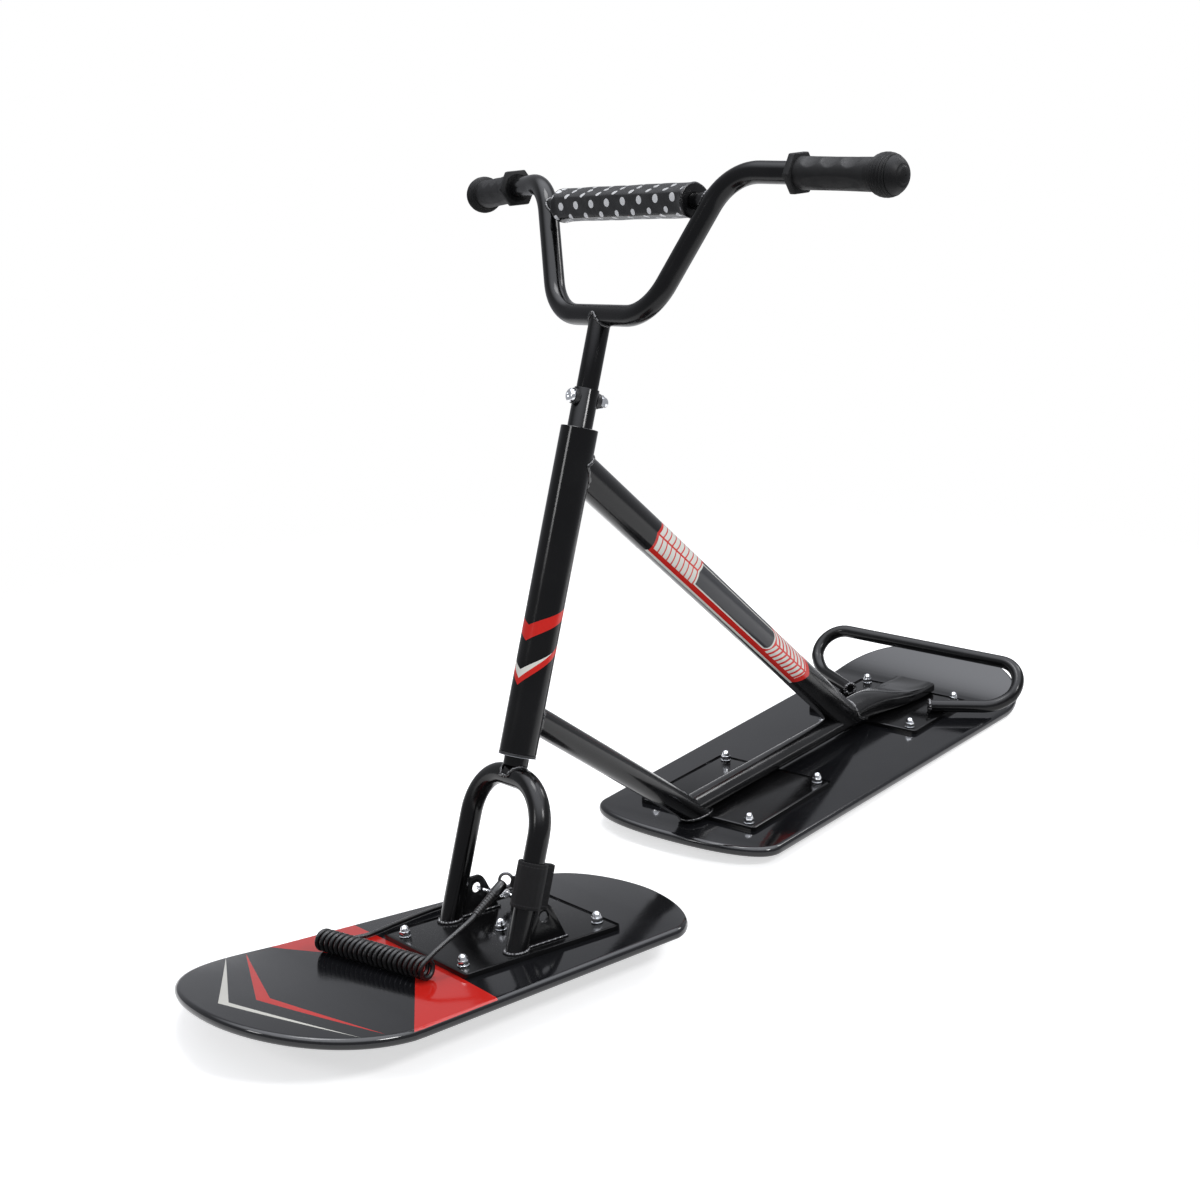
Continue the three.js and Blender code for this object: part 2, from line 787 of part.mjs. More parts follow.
function makeBearing() {
  const bushOuter = headTubeRadius - headTubeWall - seatGap;
  const upperTop = headTubeTopV - bushRecess;
  const upper = turnedRing(bushOuter, bushInner, upperTop - bushLength, upperTop, wideFacets);
  const flangeTop = headTubeBottomV - seatGap;
  const flangeBottom = flangeTop - bushFlange;
  const lower = turned([
    [bushInner, flangeBottom], [headTubeRadius, flangeBottom], [headTubeRadius, flangeTop],
    [bushOuter, flangeTop], [bushOuter, headTubeBottomV + bushLength],
    [bushInner, headTubeBottomV + bushLength], [bushInner, flangeBottom],
  ], wideFacets);
  add(raked, 'upper_steering_bush', upper, 'nylon');
  add(raked, 'lower_steering_bush', lower, 'nylon');
  const raceTop = flangeBottom - seatGap;
  const race = turnedRing(
    headTubeRadius - bushFlange, steererRadius + seatGap, raceTop - raceThickness, raceTop, wideFacets,
  );
  add(steered, 'crown_race', race, 'zinc');
  const ringOuter = bushOuter - seatGap;
  const ring = turnedRing(
    ringOuter, steererRadius - ringGroove + seatGap, ringBottomV, ringBottomV + ringThickness, wideFacets,
  );
  add(steered, 'retaining_ring', ring, 'zinc');
}

// Fork: one bent tube standing on the ski's base plate
function forkPath() {
  const foot = -forkTubeRadius * 2;
  return new BentPath(
    [at(0, forkHalfSpacing, foot), at(0, forkHalfSpacing, crownV), at(0, -forkHalfSpacing, crownV),
      at(0, -forkHalfSpacing, foot)],
    [forkBendRadius, forkBendRadius],
  );
}

function makeFork() {
  const wide = forkHalfSpacing * 2;
  const tube = levelled(bentTube(forkPath(), forkTubeRadius, forkTubeRadius - forkTubeWall, tubeFacets));
  const underPlate = block(at(-wide, -wide, -wide), at(wide, wide, skiStack.plateTop + seatGap));
  add(onSki, 'fork', cut(tube, underPlate), 'blackPaint');

  const crown = rod(
    at(0, -forkHalfSpacing, crownV), at(0, forkHalfSpacing, crownV), forkTubeRadius + seatGap, 0, tubeFacets,
  );
  const bore = stemRadius + stemClearance;
  const tubeRun = rod(at(0, 0, crownV), at(0, 0, steererTopV), steererRadius, bore, wideFacets);
  const groove = turnedRing(
    steererRadius + cutOverrun, steererRadius - ringGroove, ringBottomV - seatGap,
    ringBottomV + ringThickness + seatGap, wideFacets,
  );
  add(steered, 'steerer_tube', cut(tubeRun, crown, groove, boltHole()), 'blackPaint');
}

// Gussets: a plate with an eye behind each fork leg
function makeGussets() {
  const baseZ = skiStack.plateTop + seatGap;
  const legX = (z) => -z * Math.tan(rakeAngle) - (forkTubeRadius + seatGap) / Math.cos(rakeAngle);
  const shape = new THREE.Shape();
  shape.moveTo(legX(baseZ), baseZ);
  shape.lineTo(legX(gussetTopZ), gussetTopZ);
  shape.lineTo(gussetCrestX + gussetEyeRadius, gussetTopZ);
  shape.quadraticCurveTo(gussetCrestX, gussetTopZ, gussetShoulderX, gussetShoulderZ);
  shape.lineTo(gussetBaseX, baseZ);
  const eye = new THREE.Path();
  eye.absarc(gussetEyeX, gussetEyeZ, gussetEyeRadius, 0, fullTurn, true);
  shape.holes.push(eye);
  const sheet = extruded(shape, gussetThickness, wideFacets).rotateX(Math.PI / 2);
  for (const [name, side] of [['left_gusset', 1], ['right_gusset', -1]]) {
    const middle = side * forkHalfSpacing + gussetThickness / 2;
    add(onSki, name, sheet.clone().translate(0, middle, 0), 'blackPaint');
  }
}

// Handlebar, stem and crossbar
function barPath() {
  const half = [
    at(0, barLowHalf, barLowV), at(barHighForward, barHighHalf, barHighV),
    at(barEndForward, barEndHalf, barHighV),
  ];
  const mirrored = half.map((point) => at(point.x, -point.y, point.z)).reverse();
  return new BentPath([...mirrored, ...half], Array(half.length + 1).fill(barBendRadius));
}

function boltHole() {
  const reach = steererRadius * 2;
  return rod(
    at(-reach, 0, stemBoltV), at(reach, 0, stemBoltV), stemBoltRadius + screwClearance, 0, smallFacets,
  );
}

function makeHandlebar() {
  add(steered, 'handlebar', bentTube(barPath(), barRadius, barRadius - barWall, tubeFacets), 'blackPaint');
  const around = bentTube(barPath(), barRadius + seatGap, 0, tubeFacets);
  const stem = rod(at(0, 0, stemFootV), at(0, 0, barLowV), stemRadius, stemRadius - barWall, tubeFacets);
  add(steered, 'stem_tube', cut(stem, around, boltHole()), 'blackPaint');

  const climb = (crossbarV - barLowV) / (barHighV - barLowV);
  const half = THREE.MathUtils.lerp(barLowHalf, barHighHalf, climb);
  const forward = barHighForward * climb;
  const crossbar = rod(
    at(forward, -half, crossbarV), at(forward, half, crossbarV), crossbarRadius, crossbarRadius - barWall,
    smallFacets,
  );
  add(steered, 'crossbar', cut(crossbar, around), 'blackPaint');

  const bore = crossbarRadius + seatGap;
  const profile = [[bore, 0]];
  padCrownShares.forEach((share, i) => profile.push([padRadius * share, padLength * padLengthShares[i]]));
  profile.push([bore, padLength], [bore, 0]);
  const pad = laid(turned(profile, wideFacets), at(forward, -padLength / 2, crossbarV), at(0, 1, 0));
  add(steered, 'crossbar_pad', pad, 'fabric');
}

// A grip, turned about the bar's end and closed over it by a ball; its six-sided flange lies level
function gripSolid() {
  const start = gripStartHalf - barHighHalf;
  const slant = Math.hypot(barEndHalf - barHighHalf, barEndForward - barHighForward);
  const stretch = slant / (barEndHalf - barHighHalf);
  const barEnd = (barEndHalf - gripStartHalf) * stretch;
  const ballMiddle = (gripBallHalf - gripStartHalf) * stretch;
  const bore = barRadius + seatGap;
  const bodyEnd = ballMiddle - Math.sqrt(gripBallRadius ** 2 - gripWaistRadius ** 2);
  const profile = [[bore, 0], [gripBodyRadius, 0]];
  const swell = (gripBodyRadius - gripWaistRadius) / 2;
  for (let step = 1; step < gripWaveSteps; step += 1) {
    const share = step / gripWaveSteps;
    const radius = gripWaistRadius + swell + swell * Math.cos(fullTurn * gripWaves * share);
    profile.push([radius, bodyEnd * share]);
  }
  const first = Math.asin(gripWaistRadius / gripBallRadius);
  for (let step = 0; step <= gripBallSteps; step += 1) {
    const angle = THREE.MathUtils.lerp(first, Math.PI, step / gripBallSteps);
    const radius = step === gripBallSteps ? 0 : gripBallRadius * Math.sin(angle);
    profile.push([radius, ballMiddle - gripBallRadius * Math.cos(angle)]);
  }
  profile.push([0, barEnd + seatGap], [bore, barEnd + seatGap], [bore, 0]);
  const flange = extruded(polygonShape(gripFlangeRadius, 6), gripFlangeThickness, 1);
  const hole = rod(at(0, 0, -cutOverrun), at(0, 0, gripFlangeThickness + cutOverrun), bore);
  const vent = rod(at(0, 0, barEnd), at(0, 0, ballMiddle + gripBallRadius + cutOverrun), gripEndHole);
  return { solid: cut(join(turned(profile, tubeFacets), flange), hole, vent), start: start * stretch };
}

function makeGrips() {
  const { solid, start } = gripSolid();
  for (const [name, side] of [['left_grip', 1], ['right_grip', -1]]) {
    const bend = at(barHighForward, side * barHighHalf, barHighV);
    const run = at(barEndForward, side * barEndHalf, barHighV).sub(bend).normalize();
    const turnedSolid = solid.clone().rotateZ(side * rakeAngle);
    add(steered, name, laid(turnedSolid, bend.addScaledVector(run, start), run), 'rubber');
  }
}

// Stem bolt, front to back through the steerer and the stem
function makeStemBolt() {
  const seat = steererRadius + seatGap + saddleThickness;
  const head = seat + seatGap;
  const reach = head + stemNutHexHeight;
  const steerer = rod(
    at(0, 0, stemBoltV - saddleRadius * 2), at(0, 0, stemBoltV + saddleRadius * 2),
    steererRadius + seatGap, 0, wideFacets,
  );
  for (const [name, side] of [['front_saddle_washer', 1], ['rear_saddle_washer', -1]]) {
    const disc = rod(at(0, 0, stemBoltV), at(side * seat, 0, stemBoltV), saddleRadius, 0, smallFacets);
    add(steered, name, cut(disc, steerer, boltHole()), 'nylon');
  }
  const bolt = turned([
    [0, -reach], [stemBoltRadius, -reach], [stemBoltRadius, head], [stemBoltHeadRadius, head],
    [stemBoltHeadRadius, head + stemBoltHeadHeight / 2],
    [stemBoltHeadRadius * boltCrownShare, head + stemBoltHeadHeight], [0, head + stemBoltHeadHeight],
  ], tubeFacets);
  add(steered, 'stem_bolt', laid(bolt, at(0, 0, stemBoltV), at(1, 0, 0)), 'zinc');
  const bore = rod(
    at(0, 0, -cutOverrun), at(0, 0, stemNutHexHeight + seatGap), stemBoltRadius + screwClearance, 0, smallFacets,
  );
  const nut = cut(acornNut(stemNutAcrossFlats, stemNutHexHeight, stemNutDomeHeight), bore);
  add(steered, 'stem_acorn_nut', laid(nut, at(-head, 0, stemBoltV), at(-1, 0, 0)), 'zinc');
}

// A ring of wire in the plane of two directions
function wireRing(centre, across, along, radius, wire) {
  const place = new THREE.Matrix4().makeBasis(across, along, across.clone().cross(along));
  place.setPosition(centre);
  return new THREE.TorusGeometry(radius, wire, smallFacets, 2 * tubeFacets).applyMatrix4(place);
}

// The moulded end of the cord: its head closes round the ring's wire and its neck ends in the cord
function mouldedEnd(ring, heading, length) {
  const { centre, across, along, radius, wire } = ring;
  const flat = across.clone().multiplyScalar(heading.dot(across))
    .addScaledVector(along, heading.dot(along)).normalize();
  const start = centre.clone().addScaledVector(flat, radius)
    .addScaledVector(heading, -wire - mouldingSkin);
  const profile = mouldingWidthShares.map((share, i) => {
    const tip = i === 0 || i === mouldingWidthShares.length - 1;
    const width = THREE.MathUtils.lerp(mouldingNeckRadius, mouldingHeadRadius, share);
    return [tip ? 0 : width, length * mouldingLengthShares[i]];
  });
  const body = laid(turned(profile, smallFacets), start, heading);
  const around = wireRing(centre, across, along, radius, wire + seatGap);
  return { body: cut(body, around), end: start.addScaledVector(heading, length + seatGap) };
}

// A free stretch of cord between two faces, square to both
function cordStretch(start, startHeading, route, end, endHeading) {
  const lead = 2 * cordRadius;
  const points = [start, start.clone().addScaledVector(startHeading, lead)];
  for (const [x, y, z] of route) points.push(at(x, y, z));
  points.push(end.clone().addScaledVector(endHeading, -lead), end);
  const path = new THREE.CatmullRomCurve3(points);
  const steps = Math.round(path.getLength() / (5 * cordRadius));
  return new THREE.ExtrudeGeometry(polygonShape(cordRadius, 8), { steps, extrudePath: path });
}

// The curly stretch lies across the front board: one unbroken tube with a straight lead at each end
const coilMiddleZ = skiThickness + seatGap + cordRadius + coilRadius;
const coilNear = at(coilNearX, coilNearY, coilMiddleZ);
const coilRun = at(coilFarX, coilFarY, coilMiddleZ).sub(coilNear);
const coilAlong = coilRun.clone().normalize();
const coilAcross = up.clone().cross(coilAlong).normalize();

function coilPath() {
  const whole = coilCurls * fullTurn + coilEndTurn - coilStartTurn;
  const steps = Math.round(curlSteps * whole / fullTurn);
  const advance = coilRun.length() / whole;
  const places = [];
  const headings = [];
  for (let step = 0; step <= steps; step += 1) {
    const turn = whole * step / steps;
    const angle = coilStartTurn + turn;
    places.push(coilNear.clone().addScaledVector(coilAlong, advance * turn)
      .addScaledVector(coilAcross, coilRadius * Math.cos(angle))
      .addScaledVector(up, -coilRadius * Math.sin(angle)));
    headings.push(coilAlong.clone().multiplyScalar(advance)
      .addScaledVector(coilAcross, -coilRadius * Math.sin(angle))
      .addScaledVector(up, -coilRadius * Math.cos(angle)).normalize());
  }
  const lead = 2 * cordRadius;
  const [first, last] = [headings[0], headings[steps]];
  places.unshift(places[0].clone().addScaledVector(first, -lead));
  headings.unshift(first.clone());
  places.push(places[places.length - 1].clone().addScaledVector(last, lead));
  headings.push(last.clone());
  return new StationPath(places, headings);
}

function leastCoilGap(path) {
  const { places } = path;
  let least = Infinity;
  for (let i = 0; i < places.length; i += 1) {
    for (let j = i + curlSteps / 2; j < places.length; j += 1) {
      least = Math.min(least, places[i].distanceTo(places[j]));
    }
  }
  return least - 2 * cordRadius;
}

// Leash cuff round the left fork leg, with the tab that holds the ring
function makeCuff() {
  const inner = forkTubeRadius + seatGap;
  const outer = inner + cuffThickness;
  const reach = outer + seatGap + ringRadius + ringWireRadius;
  const ringV = (cuffBottomV + cuffTopV) / 2;
  const legAt = (distance, turn, v) => (
    at(distance * Math.cos(turn), forkHalfSpacing - distance * Math.sin(turn), v)
  );
  const across = legAt(1, ringTurn, 0).sub(legAt(0, 0, 0));
  const ringCentre = legAt(reach, ringTurn, ringV);
  const ring = wireRing(ringCentre, across, up, ringRadius, ringWireRadius);
  add(steered, 'leash_ring', ring, 'zinc');

  const band = turnedRing(outer, inner, cuffBottomV, cuffTopV, tubeFacets);
  band.translate(0, forkHalfSpacing, 0);
  const half = cuffFlagThickness / 2;
  const flag = block(
    at(-cuffFlagLength, forkHalfSpacing - half, cuffBottomV), at(-inner, forkHalfSpacing + half, cuffTopV),
  );
  const tab = block(
    at(inner + seatGap, -cuffTabHalfWidth, ringV - cuffTabHalfHeight),
    at(outer + cuffTabReach, cuffTabHalfWidth, ringV + cuffTabHalfHeight),
  ).rotateZ(-ringTurn).translate(0, forkHalfSpacing, 0);
  const leg = rod(
    at(0, forkHalfSpacing, cuffBottomV - cutOverrun), at(0, forkHalfSpacing, cuffTopV + cutOverrun), inner,
  );
  const around = wireRing(ringCentre, across, up, ringRadius, ringWireRadius + seatGap);
  const slotHalf = gussetThickness / 2 + seatGap;
  const gussetSlot = block(
    at(gussetBaseX - cutOverrun, forkHalfSpacing - slotHalf, 0),
    at(0, forkHalfSpacing + slotHalf, gussetTopZ + seatGap),
  ).rotateY(rakeAngle);
  add(steered, 'leash_cuff', cut(join(band, flag, tab), leg, around, gussetSlot), 'fabric');
  const level = (vector) => axisPoint(vector.x, vector.y, vector.z);
  return {
    centre: level(ringCentre), across: level(across), along: level(up),
    radius: ringRadius, wire: ringWireRadius,
  };
}

// Snap hook through the eye of the right gusset; its frame runs back from the eye and down
const hookFrame = new THREE.Group();
const hookAlong = at(-Math.cos(hookDrop), 0, -Math.sin(hookDrop));
const hookAcross = at(0, 1, 0);
const hookSide = -gussetThickness / 2 - seatGap - hookWireRadius;
const hookMiddle = (gateOffset + hookSide) / 2;
const hookFront = gussetEyeRadius - seatGap - hookWireRadius;
const gateHinge = hookLength - hookEarRadius;
const hookRear = hookLength + hookBarrelLength;
const swivelCentre = hookRear + seatGap + swivelWireRadius + swivelRingRadius;
hookFrame.setRotationFromMatrix(
  new THREE.Matrix4().makeBasis(hookAlong, hookAcross, hookAlong.clone().cross(hookAcross)),
);
hookFrame.position.set(gussetEyeX, -forkHalfSpacing, gussetEyeZ);
onSki.add(hookFrame);

function makeHook() {
  const path = new BentPath(
    [
      at(hookLength + hookBarrelWall, hookMiddle, 0), at(hookLength - hookShoulder, hookSide, 0),
      at(hookFront, hookSide, 0), at(hookFront, gateOffset, 0), at(hookFront + hookNose, gateOffset, 0),
    ],
    [hookRearBend, hookBend, hookBend],
  );
  const wire = bentTube(path, hookWireRadius, 0, smallFacets);
  const barrel = rod(at(hookLength, hookMiddle, 0), at(hookRear, hookMiddle, 0), hookBarrelRadius);
  const [ear, tall] = [hookEarRadius, hookEarHalfHeight];
  const link = block(
    at(hookLength, hookMiddle, -tall), at(hookLength + hookBarrelWall, gateOffset + ear, tall),
  );
  const cheek = block(
    at(gateHinge, gateOffset - ear, -tall), at(hookLength + hookBarrelWall, gateOffset + ear, tall),
  );
  const ears = rod(at(gateHinge, gateOffset, -tall), at(gateHinge, gateOffset, tall), ear, 0, smallFacets);
  const slotHalf = gateRadius + seatGap;
  const slot = block(
    at(gateHinge - ear - cutOverrun, gateOffset - ear - cutOverrun, -slotHalf),
    at(gateHinge + gateEyeRadius + seatGap, gateOffset + ear + cutOverrun, slotHalf),
  );
  const headStart = hookLength + hookBarrelWall;
  const headEnd = headStart + swivelHeadHeight + 2 * seatGap;
  const cavity = rod(
    at(headStart, hookMiddle, 0), at(headEnd, hookMiddle, 0), swivelHeadRadius + seatGap, 0, smallFacets,
  );
  const mouth = rod(
    at(headStart, hookMiddle, 0), at(hookRear + cutOverrun, hookMiddle, 0), swivelPinRadius + seatGap, 0,
    smallFacets,
  );
  const pin = rod(at(gateHinge, gateOffset, -tall), at(gateHinge, gateOffset, tall), gatePinRadius);
  const eyelet = cut(join(link, cheek, ears), slot);
  add(hookFrame, 'snap_hook', join(cut(join(wire, barrel, eyelet), cavity, mouth), pin), 'zinc');

  const [gateLow, gateHigh] = [-gateRadius, gateRadius];
  const gateEye = rod(
    at(gateHinge, gateOffset, gateLow), at(gateHinge, gateOffset, gateHigh), gateEyeRadius, 0, smallFacets,
  );
  const gateBar = rod(
    at(hookFront + hookNose + seatGap, gateOffset, 0), at(gateHinge, gateOffset, 0), gateRadius, 0,
    smallFacets,
  );
  const gateBore = rod(
    at(gateHinge, gateOffset, gateLow - cutOverrun), at(gateHinge, gateOffset, gateHigh + cutOverrun),
    gatePinRadius + seatGap,
  );
  add(hookFrame, 'hook_gate', cut(join(gateEye, gateBar), gateBore), 'zinc');

  const swivelHead = rod(
    at(headStart + seatGap, hookMiddle, 0), at(headEnd - seatGap, hookMiddle, 0), swivelHeadRadius, 0,
    smallFacets,
  );
  const swivelPin = rod(
    at(headStart + seatGap, hookMiddle, 0), at(swivelCentre - swivelRingRadius, hookMiddle, 0),
    swivelPinRadius, 0, smallFacets,
  );
  const eye = wireRing(
    at(swivelCentre, hookMiddle, 0), at(1, 0, 0), at(0, 1, 0), swivelRingRadius, swivelWireRadius,
  );
  add(hookFrame, 'hook_swivel', join(eye, swivelPin, swivelHead), 'zinc');
  hookFrame.updateMatrix();
  return {
    centre: at(swivelCentre, hookMiddle, 0).applyMatrix4(hookFrame.matrix),
    across: hookAlong, along: hookAcross, radius: swivelRingRadius, wire: swivelWireRadius,
  };
}

function makeLeash() {
  const upper = mouldedEnd(makeCuff(), upperHeading, mouldingLength);
  const lower = mouldedEnd(makeHook(), lowerHeading, mouldingEndLength);
  add(onSki, 'leash_upper_moulding', upper.body, 'rubber');
  add(onSki, 'leash_lower_moulding', lower.body, 'rubber');
  const path = coilPath();
  console.log(`Leash coil: least gap to itself ${leastCoilGap(path).toFixed(2)} mm`);
  const coil = new THREE.ExtrudeGeometry(
    polygonShape(cordRadius, curlSides), { steps: path.steps, extrudePath: path },
  );
  add(onSki, 'leash_coil', coil, 'rubber');
  const { places, headings, steps } = path;
  const coilStart = places[0].clone().addScaledVector(headings[0], -seatGap);
  const coilEnd = places[steps].clone().addScaledVector(headings[steps], seatGap);
  const back = lowerHeading.clone().negate();
  const upperCord = cordStretch(upper.end, upperHeading, [], coilStart, headings[0]);
  const lowerCord = cordStretch(coilEnd, headings[steps], lowerRoute, lower.end, back);
  add(onSki, 'leash_upper_cord', upperCord, 'rubber');
  add(onSki, 'leash_lower_cord', lowerCord, 'rubber');
}

// The whole scooter leans back until it stands on the front board's low edge and the rear board
const mostLean = THREE.MathUtils.degToRad(10);
const leanSteps = 40;

function standUp(front, rear) {
  let [low, high] = [0, mostLean];
  const lowest = (mesh) => new THREE.Box3().setFromObject(mesh, true).min.z;
  for (let step = 0; step < leanSteps; step += 1) {
    const lean = (low + high) / 2;
    scooter.rotation.y = -lean;
    scooter.updateMatrixWorld(true);
    if (lowest(front) < lowest(rear)) low = lean;
    else high = lean;
  }
  const box = new THREE.Box3().setFromObject(scooter, true);
  const middle = box.getCenter(at(0, 0, 0));
  scooter.position.set(-middle.x, -middle.y, -box.min.z);
  scooter.updateMatrixWorld(true);
}

makeSki();
makeDeck();
makeBeam();
makeFrame();
makeHoop();
makeBearing();
makeFork();
makeGussets();
makeHandlebar();
makeGrips();
makeStemBolt();
makeLeash();
standUp(scooter.getObjectByName('front_ski'), scooter.getObjectByName('rear_board'));

export default scooter;
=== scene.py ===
import bpy
from math import asin, atan2, ceil, cos, hypot, pi, radians, sin, sqrt, tan
from mathutils import Euler, Matrix, Vector


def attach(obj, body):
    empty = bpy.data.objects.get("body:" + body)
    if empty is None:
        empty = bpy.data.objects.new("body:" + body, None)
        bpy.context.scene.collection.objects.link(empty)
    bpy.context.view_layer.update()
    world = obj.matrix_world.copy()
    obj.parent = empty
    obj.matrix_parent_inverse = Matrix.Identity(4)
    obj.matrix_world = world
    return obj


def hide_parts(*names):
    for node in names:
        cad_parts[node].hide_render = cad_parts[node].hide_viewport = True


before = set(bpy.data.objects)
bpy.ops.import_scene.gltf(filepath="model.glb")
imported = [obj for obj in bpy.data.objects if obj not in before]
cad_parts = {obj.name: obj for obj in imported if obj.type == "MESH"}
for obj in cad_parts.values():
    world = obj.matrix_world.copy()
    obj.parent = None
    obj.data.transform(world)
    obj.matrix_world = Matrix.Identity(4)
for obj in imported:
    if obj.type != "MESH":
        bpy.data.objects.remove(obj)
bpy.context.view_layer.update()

# ---- Camera ----
# The picture is taken from the rider's left, in front of the scooter and a little above it.
camera_data = bpy.data.cameras.new("camera")
camera_data.sensor_width = 36
camera_data.lens = 67.218
camera_data.clip_end = 50
camera = bpy.data.objects.new("camera", camera_data)
bpy.context.scene.collection.objects.link(camera)
camera.matrix_world = (
    Matrix.Translation((1.943742, 1.282783, 1.044962))
    @ Euler((radians(90 - 17.823), 0, radians(215.844 - 90))).to_matrix().to_4x4()
    @ Matrix.Rotation(radians(-0.974), 4, "Z")
)
bpy.context.scene.camera = camera

# ---- Leash cord ----
# A limp round rubber-covered cord, coiled over its middle. It leaves a moulded end at the cuff's
# ring, runs down to its coil, which lies across the front board, and goes back to the snap hook.

# the frames that the scooter is set out in: its rear part, the raked head, the turned front and
# the front board
nose_up = radians(1.139175)
rake_angle = radians(19.3)
rake = Matrix.Rotation(-rake_angle, 4, "Y")
steered = radians(-21)
chassis = Matrix.Translation((0.364468364, -0.015100185, 0.018549439)) @ Matrix.Rotation(-nose_up, 4, "Y")
head = chassis @ rake
turned_front = head @ Matrix.Rotation(steered, 4, "Z")
front_board = turned_front @ rake.inverted()
as_it_is = Matrix.Identity(4)


def fresh_material(name, roughness, specular=0.5, metallic=0.0):
    """A new material with its node tree and its shader."""
    material = bpy.data.materials.new(name)
    material.use_nodes = True
    shader = material.node_tree.nodes["Principled BSDF"]
    shader.inputs["Roughness"].default_value = roughness
    shader.inputs["Specular IOR Level"].default_value = specular
    shader.inputs["Metallic"].default_value = metallic
    return material, material.node_tree, shader


def new_node(tree, kind, inputs=None, **settings):
    node = tree.nodes.new(kind)
    for key, value in settings.items():
        setattr(node, key, value)
    for key, value in (inputs or {}).items():
        if isinstance(value, bpy.types.NodeSocket):
            tree.links.new(value, node.inputs[key])
        else:
            node.inputs[key].default_value = value
    return node


def reckon(tree, operation, first, second=0.0):
    node = new_node(tree, "ShaderNodeMath", {0: first, 1: second}, operation=operation)
    return node.outputs[0]


def paint_over(tree, mask, below, above):
    """The colour below, covered by the colour above where the mask is 1."""
    node = new_node(tree, "ShaderNodeMix", {"Factor": mask}, data_type="RGBA")
    for key, value in ((6, below), (7, above)):
        if isinstance(value, bpy.types.NodeSocket):
            tree.links.new(value, node.inputs[key])
        else:
            node.inputs[key].default_value = (*value, 1)
    return node.outputs[2]


def own_place(tree, place):
    """A piece's coordinates in the frame that it is set out in."""
    coordinates = new_node(tree, "ShaderNodeTexCoord").outputs["Object"]
    back = place.inverted()
    mapping = new_node(tree, "ShaderNodeMapping", {"Vector": coordinates})
    mapping.inputs["Location"].default_value = back.translation
    mapping.inputs["Rotation"].default_value = back.to_euler()
    return mapping.outputs["Vector"]


def new_group(name, inputs, outputs):
    """A node group with its sockets: all of them are numbers, apart from Vector."""
    group = bpy.data.node_groups.new(name, "ShaderNodeTree")
    for way, sockets in (("INPUT", inputs), ("OUTPUT", outputs)):
        for socket in sockets:
            kind = "NodeSocketVector" if socket == "Vector" else "NodeSocketFloat"
            group.interface.new_socket(socket, in_out=way, socket_type=kind)
    return group, new_node(group, "NodeGroupInput"), new_node(group, "NodeGroupOutput")


# The surface of every paint, rubber and metal: a fine grain, and a thin cloudy film of dust
moulded_skin, skin_in, skin_out = new_group("moulded_skin", ("Vector", "Grain", "Cloud"), ("Height", "Dust"))
skin_grain = new_node(moulded_skin, "ShaderNodeTexNoise", {
    "Vector": skin_in.outputs["Vector"], "Scale": skin_in.outputs["Grain"], "Detail": 3.0})
skin_cloud = new_node(moulded_skin, "ShaderNodeTexNoise", {
    "Vector": skin_in.outputs["Vector"], "Scale": skin_in.outputs["Cloud"], "Detail": 6.0, "Roughness": 0.6})
skin_dust = new_node(moulded_skin, "ShaderNodeMapRange", {
    "Value": skin_cloud.outputs["Fac"], "From Min": 0.42, "From Max": 0.72})
moulded_skin.links.new(skin_grain.outputs["Fac"], skin_out.inputs["Height"])
moulded_skin.links.new(skin_dust.outputs["Result"], skin_out.inputs["Dust"])


def raise_surface(tree, shader, height, strength, depth):
    bump = new_node(tree, "ShaderNodeBump", {"Height": height, "Strength": strength, "Distance": depth})
    tree.links.new(bump.outputs["Normal"], shader.inputs["Normal"])


def skinned(name, place, grain, cloud, clean, dusty, gloss, bump, specular=0.5, metallic=0.0, prints=None):
    """A material in one skin: its colour and its roughness run from clean to dusty.

    prints takes the tree, the piece's own coordinates and the colour, and gives the colour over it.
    """
    material, tree, shader = fresh_material(name, gloss[0], specular, metallic)
    vector = own_place(tree, place)
    skin = new_node(tree, "ShaderNodeGroup", {"Vector": vector, "Grain": grain, "Cloud": cloud},
                    node_tree=moulded_skin)
    colour = paint_over(tree, skin.outputs["Dust"], clean, dusty)
    if prints:
        colour = prints(tree, vector, colour)
    tree.links.new(colour, shader.inputs["Base Color"])
    if gloss[0] != gloss[1]:
        sheen = new_node(tree, "ShaderNodeMapRange", {
            "Value": skin.outputs["Dust"], "To Min": gloss[0], "To Max": gloss[1]})
        tree.links.new(sheen.outputs["Result"], shader.inputs["Roughness"])
    raise_surface(tree, shader, skin.outputs["Height"], *bump)
    return material


cord_rubber = skinned("cord_rubber", front_board, 1400, 60, (0.004, 0.004, 0.0043), (0.009, 0.009, 0.0094),
                      gloss=(0.26, 0.42), bump=(0.25, 0.0003), specular=0.4)

